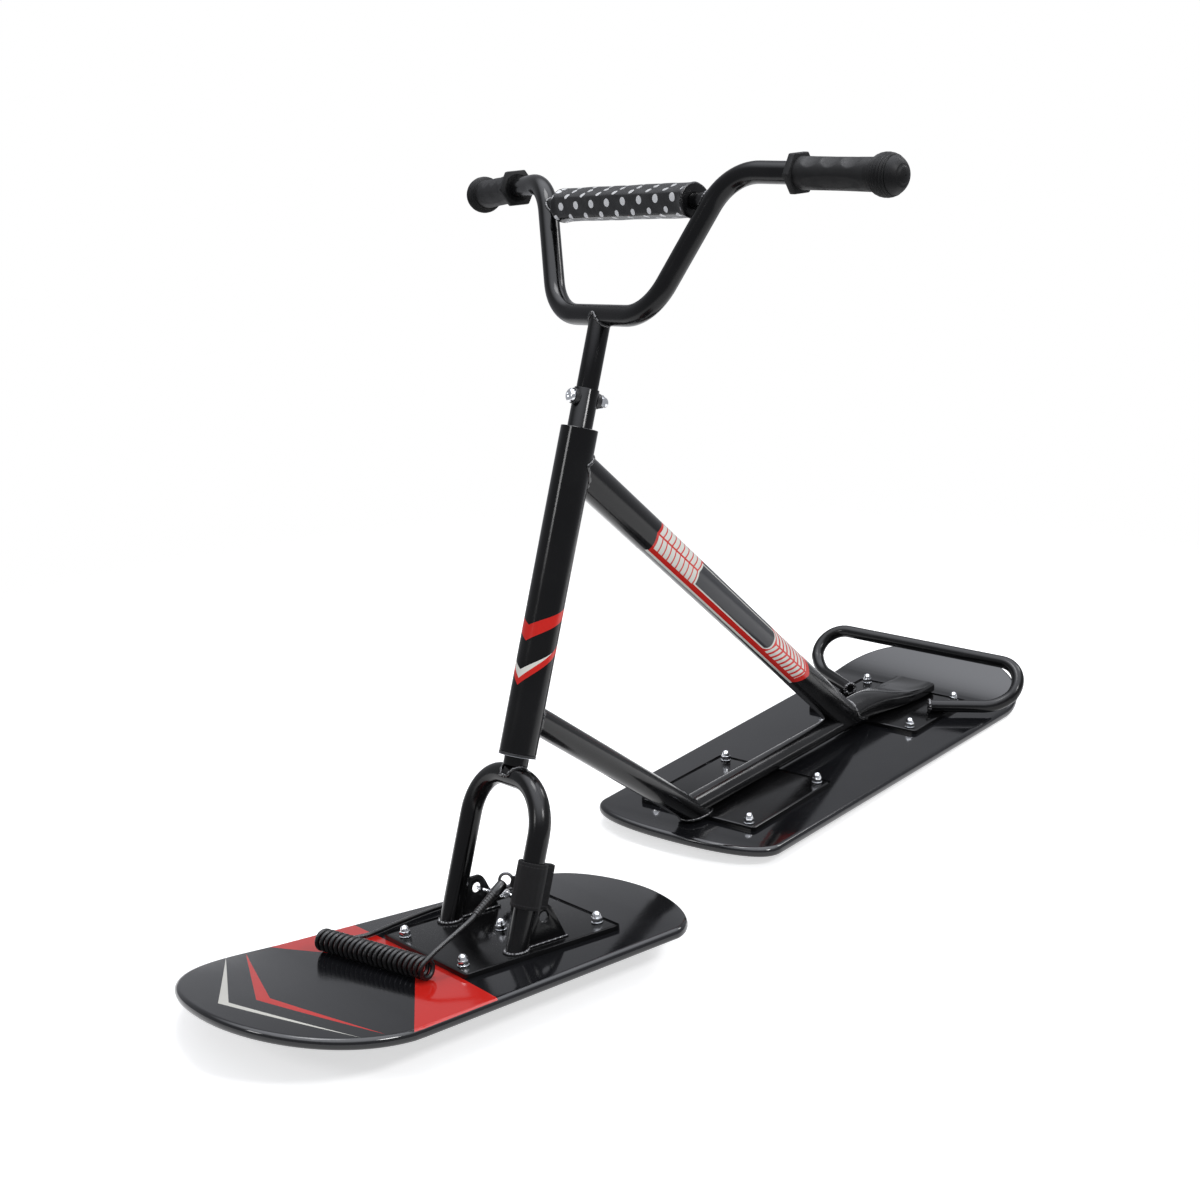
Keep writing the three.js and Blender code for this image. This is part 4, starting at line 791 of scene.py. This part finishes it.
def bend_tube(corners, bends, radius, steps=12, sides=28):
    """Extrudes a filled circle along straights and spins it round the bends."""
    run = (corners[1] - corners[0]).normalized()
    deselect()
    bpy.ops.mesh.primitive_circle_add(
        vertices=sides, radius=radius, fill_type="NGON", location=corners[0],
        rotation=run.to_track_quat("Z", "Y").to_euler())
    tube = added()
    edit_all()
    here = corners[0]
    for before, corner, after, bend in zip(corners, corners[1:], corners[2:], bends):
        inward = (corner - before).normalized()
        outward = (after - corner).normalized()
        turn = inward.angle(outward)
        axis = inward.cross(outward).normalized()
        begin = corner - inward * (bend * tan(turn / 2))
        bpy.ops.mesh.extrude_region_move(TRANSFORM_OT_translate={"value": begin - here})
        bpy.ops.mesh.spin(steps=steps, angle=-turn, center=begin - inward.cross(axis) * bend, axis=axis)
        here = corner + outward * (bend * tan(turn / 2))
    bpy.ops.mesh.extrude_region_move(TRANSFORM_OT_translate={"value": corners[-1] - here})
    face_outwards()
    return tube


def on_side(side, point):
    """A point of the left side (1), or the same point on the right side (-1)."""
    return Vector((point[0], side * point[1], point[2]))


hoop_side = [Vector(corner) for corner in (
    (-0.856, 0.058, 0.0246), (-0.905, 0.134, 0.0246), (-0.948, 0.167, 0.0696))]
hoop = bend_tube(hoop_side + [on_side(-1, point) for point in reversed(hoop_side)],
                 [0.058, 0.032, 0.032, 0.058], 0.008, 16, 32)
enamelled(hoop, "tail_hoop", chassis, "chassis")
for side, name in ((1, "left"), (-1, "right")):
    root = on_side(side, hoop_side[0])
    leg_run = (on_side(side, hoop_side[1]) - root).normalized()
    ring_line = joint_line(root + leg_run * 0.0005, leg_run, 0.0068, lambda point, heading: point, 60)
    weld_bead("weld_hoop_" + name, ring_line, 0.0024, chassis, "chassis")

# ---- Base plates ----
# Three steel plates with rounded corners, enamelled black, that spread the load on the boards.


def base_plate(front, rear, half_width, name, place, body, node):
    """A plate on a board's top, between its front and rear edges."""
    plate = block(((front + rear) / 2, 0, 0.0143), (front - rear, 2 * half_width, 0.004))
    for edge in plate.data.edges:
        ends = [plate.data.vertices[i].co for i in edge.vertices]
        edge.select = abs(ends[0].z - ends[1].z) > 0.001
    bpy.ops.object.mode_set(mode="EDIT")
    bpy.ops.mesh.select_mode(type="EDGE")
    bpy.ops.mesh.bevel(offset=0.005, segments=6, affect="EDGES")
    leave_edit()
    soften_edges(plate, 0.0006, 60)
    enamelled(plate, node, place, body, name=name)


base_plate(0.064, -0.119, 0.082, "front_board_plate", front_board, "steering", "ski_base_plate")
base_plate(-0.398, -0.572, 0.078, "beam_front_plate", chassis, "chassis", "front_base_plate")
base_plate(-0.781, -0.924, 0.078, "beam_rear_plate", chassis, "chassis", "rear_base_plate")

# ---- Screws and acorn nuts ----
# Plated M6 screws from below, each drawn tight by a washer and a domed nut, all zinc bright.
bright_steel = skinned("bright_steel", as_it_is, 900, 120, (0.78, 0.79, 0.81), (0.60, 0.61, 0.62),
                       gloss=(0.10, 0.24), bump=(0.06, 0.0002), metallic=1.0)


def joined(*pieces):
    deselect()
    for piece in pieces:
        piece.select_set(True)
    bpy.context.view_layer.objects.active = pieces[0]
    bpy.ops.object.join()
    return bpy.context.object


def domed_nut(across, hexagon, dome, bottom):
    """A six-sided nut with chamfered corners under a round dome."""
    deselect()
    bpy.ops.mesh.primitive_cylinder_add(
        vertices=6, radius=across / sqrt(3), depth=hexagon, location=(0, 0, bottom + hexagon / 2))
    nut = added()
    soften_edges(nut, across * 0.035)
    top = bottom + hexagon
    dome_start = across * 0.06
    profile = [(across * 0.49, top - across * 0.02), (across * 0.465, top + across * 0.03)]
    for step in range(1, 9):
        angle = pi / 2 * step / 9
        profile.append((across * 0.45 * cos(angle), top + dome_start + (dome - dome_start) * sin(angle)))
    cap = turned_body(profile, 28)
    return joined(nut, cap)


fastener = joined(
    turned_body([(0.0016, 0.0014), (0.0020, 0.0002), (0.0052, 0.0002), (0.0060, 0.0010), (0.0060, 0.0030),
                 (0.0030, 0.0032), (0.0030, 0.0168)], 28),
    turned_body([(0.0031, 0.0167), (0.0058, 0.0167), (0.0060, 0.0169), (0.0060, 0.0177), (0.0058, 0.0178),
                 (0.0031, 0.0178), (0.0031, 0.0167)], 32, closed=True),
    domed_nut(0.010, 0.005, 0.006, 0.0178),
)


def fasten(places, place, body, prefix):
    """Sets a copy of the fastener at each of these places on a board."""
    for number, (x, y) in enumerate(places, 1):
        screw = fastener.copy()
        screw.data = fastener.data.copy()
        bpy.context.scene.collection.objects.link(screw)
        # every nut came to rest at its own turn
        own_turn = Matrix.Rotation(0.55 * number * number, 4, "Z")
        screw.matrix_world = Matrix.Translation((x, y, 0)) @ own_turn
        finish_piece(screw, prefix + "_fastener_" + str(number), place, body, "bright_steel", bright_steel,
                     [prefix + "_screw_" + str(number)], 30)


fasten([(x, y) for x in (0.0515, -0.1065) for y in (0.0575, -0.0575)] + [(-0.0275, 0)],
       front_board, "steering", "ski")
fasten([(x, y) for x in (-0.409, -0.561, -0.792, -0.913) for y in (0.064, -0.064)],
       chassis, "chassis", "deck")
bpy.data.objects.remove(fastener)

# ---- Fork ----
# One steel tube bent into an arch, its two feet welded to the front board's plate, with the
# steerer tube standing on its crown.
crown_height = 0.181
leg_half = 0.064
fork_radius = 0.0111
fork_side = [Vector((0, leg_half, -0.02)), Vector((0, leg_half, crown_height))]
fork = bend_tube(fork_side + [on_side(-1, point) for point in reversed(fork_side)],
                 [0.050, 0.050], fork_radius, 16, 40)
only(fork)
fork.matrix_world = rake
settle()
cut_from(fork, block((0, 0, -0.0334), (0.3, 0.3, 0.1)))
enamelled(fork, "fork", front_board, "steering")
for side, name in ((1, "left"), (-1, "right")):
    foot = rake @ Vector((0, side * leg_half, 0.06))
    weld_bead("weld_fork_foot_" + name, joint_line(foot, up_the_head(-1), fork_radius, meet_level(0.0170)),
              0.0021, front_board, "steering")

steerer = turned_body([
    (0.0122, 0.192), (0.0127, 0.192), (0.0127, 0.5765), (0.0124, 0.577), (0.0116, 0.577), (0.0114, 0.5767),
    (0.0114, 0.192), (0.0122, 0.192)], 56, closed=True)
enamelled(steerer, "steerer_tube", turned_front, "steering")
weld_bead("weld_crown", joint_line(Vector((0, 0, 0.26)), Vector((0, 0, -1)), 0.0128,
                                   meet_tube(Vector((0, 0, crown_height)), Vector((0, 1, 0)), fork_radius)),
          0.0020, turned_front, "steering")

# ---- Gussets ----
# A flat steel plate with an eye behind each fork leg, welded to the leg and to the base plate.


def copied_node(name):
    """A copy of a node with its loose triangles merged; it is left in edit mode."""
    node = bpy.data.objects[name]
    piece = node.copy()
    piece.data = node.data.copy()
    piece.parent = None
    bpy.context.scene.collection.objects.link(piece)
    only(piece)
    edit_all()
    bpy.ops.mesh.remove_doubles(threshold=0.00001)
    return piece


for name, side in (("left_gusset", 1), ("right_gusset", -1)):
    gusset = copied_node(name)
    bpy.ops.mesh.dissolve_limited(angle_limit=radians(1))
    leave_edit()
    soften_edges(gusset, 0.0007, 50)
    enamelled(gusset, name, as_it_is, "steering")
    middle = side * leg_half
    foot_line = [Vector((-0.064 + 0.046 * i / 40, middle + 0.0026, 0.0172)) for i in range(41)]
    foot_line += [Vector((-0.018 - 0.046 * i / 40, middle - 0.0026, 0.0172)) for i in range(41)]
    weld_bead("weld_" + name, foot_line, 0.0014, front_board, "steering")

# ---- Head bearing ----
# Black nylon bushes in the head tube, a bright race that the head tube turns on, and the
# spring ring that keeps the fork in.
nylon = skinned("black_nylon", chassis, 1100, 40, (0.012, 0.012, 0.013), (0.02, 0.02, 0.021),
                gloss=(0.45, 0.45), bump=(0.12, 0.0002))
for name, profile, place, body, slot, material in (
    ("upper_steering_bush", [
        (0.0145, 0.5318), (0.01625, 0.5318), (0.01625, 0.506), (0.0130, 0.506), (0.0130, 0.5318),
        (0.0145, 0.5318)], head, "chassis", "nylon", nylon),
    ("lower_steering_bush", [
        (0.0150, 0.2027), (0.0187, 0.2027), (head_radius, 0.2030), (head_radius, 0.2044), (0.0187, 0.2047),
        (0.01625, 0.2047), (0.01625, 0.231), (0.0130, 0.231), (0.0130, 0.2027), (0.0150, 0.2027),
    ], head, "chassis", "nylon", nylon),
    ("crown_race", [
        (0.0150, 0.2017), (0.0196, 0.2017), (0.0199, 0.2019), (0.0199, 0.2022), (0.0196, 0.2024),
        (0.0130, 0.2024), (0.0130, 0.2017), (0.0150, 0.2017),
    ], turned_front, "steering", "bright_steel", bright_steel),
    ("retaining_ring", [
        (0.0140, 0.5323), (0.0159, 0.5323), (0.0159, 0.5334), (0.0124, 0.5334), (0.0124, 0.5323),
        (0.0140, 0.5323)], turned_front, "steering", "bright_steel", bright_steel),
):
    ring = turned_body(profile, 56, closed=True)
    finish_piece(ring, name + "_dressed", place, body, slot, material, [name])

# ---- Handlebar ----
# A wide bar of steel tube with four bends, a crossbar welded between its uprights, and a stem
# that slides into the steerer, all enamelled black.
bar_half = [Vector((0, 0.081, 0.652)), Vector((-0.006, 0.160, 0.794)), Vector((-0.044, 0.352, 0.794))]
bar_radius = 0.0108
bar = bend_tube([on_side(-1, point) for point in reversed(bar_half)] + bar_half,
                [0.064] * 4, bar_radius, 16, 40)
enamelled(bar, "handlebar", turned_front, "steering")
stem = tube_between(Vector((0, 0, 0.452)), Vector((0, 0, 0.650)), 0.0111, 48)
soften_edges(stem, 0.0008)
enamelled(stem, "stem_tube", turned_front, "steering")
weld_bead("weld_stem", joint_line(Vector((0, 0, 0.60)), Vector((0, 0, 1)), 0.0112,
                                  meet_tube(Vector((0, 0, 0.652)), Vector((0, 1, 0)), bar_radius)),
          0.0018, turned_front, "steering")
crossbar_middle = Vector((-0.00486, 0, 0.767))
crossbar_reach = Vector((0, 0.144, 0))
crossbar = tube_between(crossbar_middle - crossbar_reach, crossbar_middle + crossbar_reach, 0.008, 40)
enamelled(crossbar, "crossbar", turned_front, "steering")
for side, name in ((1, "left"), (-1, "right")):
    low_bend, high_bend = on_side(side, bar_half[0]), on_side(side, bar_half[1])
    upright = meet_tube(low_bend, (high_bend - low_bend).normalized(), bar_radius)
    start = crossbar_middle + Vector((0, side * 0.11, 0))
    weld_bead("weld_crossbar_" + name, joint_line(start, Vector((0, side, 0)), 0.0081, upright, 60),
              0.0016, turned_front, "steering")

# ---- Stem bolt ----
# A plated bolt through steerer and stem with a domed nut behind, on two moulded saddle washers.
bolt = turned_body([
    (0.0040, -0.0212), (0.0040, 0.0163), (0.0066, 0.0163), (0.0070, 0.0167), (0.0070, 0.0186),
    (0.0065, 0.0196), (0.0055, 0.0204), (0.0042, 0.0210), (0.0026, 0.0213), (0.0024, 0.0200)], 36)
bolt_middle = Vector((0, 0, 0.567))
finish_piece(bolt, "stem_bolt_dressed", turned_front @ along_line(bolt_middle, (1, 0, 0)), "steering",
             "bright_steel", bright_steel, ["stem_bolt"], 30)
stem_nut = domed_nut(0.013, 0.005, 0.006, 0.0163)
finish_piece(stem_nut, "stem_nut_dressed", turned_front @ along_line(bolt_middle, (-1, 0, 0)), "steering",
             "bright_steel", bright_steel, ["stem_acorn_nut"], 30)
for name, heading in (("front_saddle_washer", 1), ("rear_saddle_washer", -1)):
    washer = turned_body([
        (0.0046, 0.0090), (0.0078, 0.0090), (0.0080, 0.0100), (0.0080, 0.0156), (0.0077, 0.0160),
        (0.0046, 0.0160), (0.0046, 0.0090)], 36, closed=True)
    cut_from(washer, tube_between(Vector((0.03, 0, 0)), Vector((-0.03, 0, 0)), 0.0130, 56))
    place = turned_front @ Matrix.Translation(bolt_middle) @ Matrix.Rotation(radians(90 * heading), 4, "Y")
    finish_piece(washer, name + "_dressed", place, "steering", "nylon", nylon, [name])

# ---- Crossbar pad ----
# A foam sleeve round the crossbar in a black cloth cover with printed white dots, gathered
# to a round end piece at each side.
pad_half = 0.115
pad_radius = 0.0184
pad_end = [(0.0084, 0.0008), (0.0130, 0.0003), (0.0160, 0), (0.0174, 0.0004), (0.0182, 0.0018)]
pad_profile = [(radius, inward - pad_half) for radius, inward in pad_end]
for step in range(61):
    pad_profile.append((pad_radius, -pad_half + 0.003 + (2 * pad_half - 0.006) * step / 60))
pad_profile += [(radius, pad_half - inward) for radius, inward in reversed(pad_end)]
pad_profile.append(pad_profile[0])
pad = turned_body(pad_profile, 120, closed=True)
flat_angle = radians(204)
flat_turn = whole_turn / 5
for vertex in pad.data.vertices:
    x, y, z = vertex.co
    reach = hypot(x, y)
    if reach < 0.0100:
        continue
    # five soft flats where the cover is pulled tight, with faint folds near the ends
    angle = atan2(y, x)
    off_flat = (angle - flat_angle + flat_turn / 2) % flat_turn - flat_turn / 2
    flat_reach = 0.0158 / cos(off_flat)
    tight = min((pad_half - abs(z)) / 0.006, 1)
    eased = tight * tight * (3 - 2 * tight)
    shaped = (flat_reach ** -16 + pad_radius ** -16) ** (-1 / 16)
    shaped += 0.00016 * sin(3 * angle + 60 * z) + 0.00012 * sin(7 * angle - 140 * z)
    wanted = reach + (min(shaped, pad_radius + 0.0001) - reach) * eased * (0.75 + 0.25 * eased)
    vertex.co.x, vertex.co.y = x * wanted / reach, y * wanted / reach
pad_place = turned_front @ along_line(crossbar_middle, (0, 1, 0))

# Woven cloth: threads that cross, and a little fuzz
woven, woven_in, woven_out = new_group("woven_cloth", ("Vector", "Threads"), ("Height", "Fuzz"))
scaled = new_node(woven, "ShaderNodeVectorMath", {0: woven_in.outputs["Vector"]}, operation="SCALE")
woven.links.new(woven_in.outputs["Threads"], scaled.inputs["Scale"])
threads = new_node(woven, "ShaderNodeSeparateXYZ", {0: scaled.outputs[0]})
warp = reckon(woven, "SINE", threads.outputs["X"])
weft = reckon(woven, "SINE", threads.outputs["Y"])
crossing = reckon(woven, "MULTIPLY", warp, weft)
fuzz = new_node(woven, "ShaderNodeTexNoise", {
    "Vector": woven_in.outputs["Vector"], "Scale": 900.0, "Detail": 2.0})
rough = reckon(woven, "ADD", crossing, reckon(woven, "MULTIPLY", fuzz.outputs["Fac"], 0.6))
woven.links.new(rough, woven_out.inputs["Height"])
woven.links.new(fuzz.outputs["Fac"], woven_out.inputs["Fuzz"])


def cloth_on(tree, vector, radius, thread):
    """Woven cloth round a tube, its angle in degrees and its two lengths in metres."""
    degrees, along = around_tube(tree, vector)
    arc = reckon(tree, "MULTIPLY", degrees, radians(1) * radius)
    flat = new_node(tree, "ShaderNodeCombineXYZ", {0: along, 1: arc}).outputs[0]
    weave = new_node(tree, "ShaderNodeGroup", {"Vector": flat, "Threads": whole_turn / thread},
                     node_tree=woven)
    return weave, degrees, along, arc


pad_cloth, tree, shader = fresh_material("dotted_pad_cloth", roughness=0.22, specular=0.4)
vector = own_place(tree, pad_place)
weave, degrees, along, arc = cloth_on(tree, vector, 0.0185, 0.0009)
dot_pitch = 0.02805
twist = 88.0
# each row of dots: its angle round the pad in degrees, its shift along it and its dots' radius
dot = None
for around, shift, size in (
    (126.0, 0.0143, 0.0033), (154.5, 0.0104, 0.0033), (190.5, 0.0, 0.0044), (230.0, 0.0150, 0.0033),
    (254.0, 0.0043, 0.0033), (284.0, 0.0140, 0.0033), (314.0, 0.0, 0.0033), (344.0, 0.0140, 0.0033),
    (14.0, 0.0, 0.0033), (44.0, 0.0140, 0.0033), (72.0, 0.0, 0.0033), (99.0, 0.0140, 0.0033),
):
    # the cover is twisted a little along the bar
    turned = reckon(tree, "ADD", reckon(tree, "MULTIPLY", along, twist),
                    reckon(tree, "ADD", degrees, 540.0 - around))
    turned = reckon(tree, "SUBTRACT", reckon(tree, "MODULO", turned, 360.0), 180.0)
    off_around = reckon(tree, "MULTIPLY", turned, radians(1) * 0.0175)
    column = reckon(tree, "DIVIDE", reckon(tree, "ADD", along, 0.475375 - shift), dot_pitch)
    in_column = reckon(tree, "SUBTRACT", reckon(tree, "FRACT", column), 0.5)
    off_along = reckon(tree, "MULTIPLY", in_column, dot_pitch)
    squared = reckon(tree, "ADD", reckon(tree, "MULTIPLY", off_along, off_along),
                     reckon(tree, "MULTIPLY", off_around, off_around))
    mark = reckon(tree, "LESS_THAN", squared, size ** 2)
    dot = mark if dot is None else reckon(tree, "MAXIMUM", dot, mark)
body_zone = reckon(tree, "LESS_THAN", reckon(tree, "ABSOLUTE", along), 0.1125)
dot = reckon(tree, "MULTIPLY", dot, body_zone)
cloth = paint_over(tree, weave.outputs["Fuzz"], (0.0045, 0.0045, 0.005), (0.009, 0.009, 0.0095))
tree.links.new(paint_over(tree, dot, cloth, (0.74, 0.75, 0.76)), shader.inputs["Base Color"])
crease = new_node(tree, "ShaderNodeTexNoise", {"Vector": vector, "Scale": 55.0, "Detail": 3.0})
thread_height = reckon(tree, "MULTIPLY", weave.outputs["Height"], 0.08)
crease_height = reckon(tree, "MULTIPLY", crease.outputs["Fac"], 5.0)
raise_surface(tree, shader, reckon(tree, "ADD", thread_height, crease_height), 0.5, 0.0005)
finish_piece(pad, "crossbar_pad_dressed", pad_place, "steering", "pad_cloth", pad_cloth, ["crossbar_pad"], 60)

# ---- Grips ----
# Moulded rubber sleeves with a six-sided flange, three finger hollows, a palm panel and a
# ribbed ball that closes the bar's end.


def darker_ball(tree, vector, colour):
    """The ball ends are a deeper black than the sleeves."""
    across = new_node(tree, "ShaderNodeSeparateXYZ", {0: vector})
    ball_part = reckon(tree, "GREATER_THAN", reckon(tree, "ABSOLUTE", across.outputs["Y"]), 0.3295)
    return paint_over(tree, ball_part, colour, (0.0028, 0.0028, 0.003))


grip_rubber = skinned("grip_rubber", turned_front, 1600, 70, (0.0055, 0.0055, 0.0058),
                      (0.0105, 0.0105, 0.011), gloss=(0.48, 0.66), bump=(0.22, 0.0003), specular=0.22,
                      prints=darker_ball)

stretch = hypot(0.192, 0.038) / 0.192
grip_start = 0.080 * stretch
ball_middle = 0.1035 * stretch
ball_radius = 0.0204
rib_radius = ball_radius - 0.0003
body_end = ball_middle - sqrt(ball_radius ** 2 - 0.0150 ** 2)
# three finger hollows and the palm panel: middle and half length along the sleeve, angle and half
# angle round it, depth, and the power of its slope
hollows = [(0.024 + 0.0235 * number, 0.0105, 62, 34, 0.0016, 0.6) for number in range(3)]
hollows.append((0.050, 0.034, -28, 24, 0.0008, 0.35))
grip_profile = [(0.0112, 0.0), (0.0150, 0.0)]
for step in range(1, 96):
    share = step / 96
    grip_profile.append((0.0156 - 0.0004 * sin(pi * share), body_end * share))
ball_from = asin(0.0152 / ball_radius)
for step in range(1, 72):
    angle = ball_from + (pi - ball_from) * step / 72
    rib = 0.0005 * cos(whole_turn * step / 5) - 0.0002 if 2 < step < 38 else 0
    if 55 < step < 60:
        rib = -0.0003
    grip_profile.append(((rib_radius + rib) * sin(angle), ball_middle - (rib_radius + rib) * cos(angle)))
grip_profile += [(0.0016, ball_middle + ball_radius - 0.0005), (0.0014, ball_middle + ball_radius - 0.005)]
for side, name in ((1, "left_grip"), (-1, "right_grip")):
    sleeve = turned_body(grip_profile, 72)
    for vertex in sleeve.data.vertices:
        x, y, z = vertex.co
        reach = hypot(x, y)
        if reach < 0.0140 or z > body_end - 0.001:
            continue
        angle = atan2(-side * y, x)
        push = 0.0
        for middle, half_length, turn, half_turn, depth, power in hollows:
            off_along = (z - middle) / half_length
            off_around = (angle - radians(turn)) / radians(half_turn)
            push += depth * max(1 - off_along ** 2 - off_around ** 2, 0) ** power
        vertex.co.x = x * (reach - push) / reach
        vertex.co.y = y * (reach - push) / reach
    deselect()
    bpy.ops.mesh.primitive_cylinder_add(vertices=6, radius=0.0215, depth=0.007, location=(0, 0, 0.0035),
                                        rotation=(0, 0, radians(30)))
    flange = added()
    soften_edges(flange, 0.0013, 40, 3)
    grip = joined(sleeve, flange)
    outer = on_side(side, bar_half[1])
    run = (on_side(side, bar_half[2]) - outer).normalized()
    forward = (Vector((1, 0, 0)) - run * run.x).normalized()
    grip_place = set_out(forward, run.cross(forward), run, outer + run * grip_start)
    grip_place = turned_front @ grip_place @ Matrix.Rotation(rake_angle * side, 4, "Z")
    finish_piece(grip, name + "_dressed", grip_place, "steering", "grip_rubber", grip_rubber, [name], 32)

# ---- Leash cuff ----
# A padded webbing band closed by a flap of hook-and-loop tape round the left fork leg, with a
# sewn tab that carries a steel ring.
webbing, tree, shader = fresh_material("black_webbing", roughness=0.85, specular=0.2)
shader.inputs["Sheen Weight"].default_value = 0.05
vector = own_place(tree, turned_front @ Matrix.Translation((0, leg_half, 0)))
weave, degrees, along, arc = cloth_on(tree, vector, 0.0155, 0.0016)
cloth = paint_over(tree, weave.outputs["Fuzz"], (0.005, 0.005, 0.0054), (0.011, 0.011, 0.0115))
# a row of stitches near each edge of the band
from_band = reckon(tree, "ABSOLUTE", reckon(tree, "SUBTRACT", along, 0.084))
from_seam = reckon(tree, "ABSOLUTE", reckon(tree, "SUBTRACT", from_band, 0.0195))
stitched = reckon(tree, "LESS_THAN", reckon(tree, "FRACT", reckon(tree, "DIVIDE", arc, 0.0032)), 0.7)
stitch = reckon(tree, "MULTIPLY", reckon(tree, "LESS_THAN", from_seam, 0.0005), stitched)
tree.links.new(paint_over(tree, stitch, cloth, (0.022, 0.022, 0.023)), shader.inputs["Base Color"])
stitch_height = reckon(tree, "MULTIPLY", stitch, 2.0)
raise_surface(tree, shader, reckon(tree, "ADD", weave.outputs["Height"], stitch_height), 0.5, 0.0003)
cuff = copied_node("leash_cuff")
leave_edit()
remesh = cuff.modifiers.new("felt", "REMESH")
remesh.mode = "VOXEL"
remesh.voxel_size = 0.0009
bpy.ops.object.modifier_apply(modifier=remesh.name)
smooth = cuff.modifiers.new("rounding", "SMOOTH")
smooth.factor = 0.5
smooth.iterations = 6
bpy.ops.object.modifier_apply(modifier=smooth.name)
finish_piece(cuff, "leash_cuff_dressed", as_it_is, "steering", "webbing", webbing, ["leash_cuff"], 70)

# ---- Leash ring and snap hook ----
# A ring of blackened wire in the cuff's tab, and at the leash's other end a small plated snap
# hook with a sprung gate and a swivel.
deselect()
bpy.ops.mesh.primitive_torus_add(
    major_radius=0.0065, minor_radius=0.0015, major_segments=48, minor_segments=16)
leash_ring = bpy.context.object
ring_across = Vector((0.7431448, -0.6691306, 0))
ring_up = Vector((0, 0, 1))
ring_middle = Vector((0.0176125, 0.0481416, 0.084))
ring_place = set_out(ring_across, ring_up, ring_across.cross(ring_up), ring_middle)
dark_steel = skinned("blackened_steel", as_it_is, 900, 120, (0.10, 0.10, 0.105), (0.05, 0.05, 0.052),
                     gloss=(0.25, 0.25), bump=(0.1, 0.0002), metallic=1.0)
finish_piece(leash_ring, "leash_ring_dressed", turned_front @ ring_place, "steering", "bright_steel",
             dark_steel, ["leash_ring"])
for name, body in (("snap_hook", "steering"), ("hook_swivel", "steering"), ("hook_gate", "gate")):
    fitting = copied_node(name)
    leave_edit()
    soften_edges(fitting, 0.00018, 45, 2)
    finish_piece(fitting, name + "_dressed", as_it_is, body, "bright_steel", bright_steel, [name], 50)
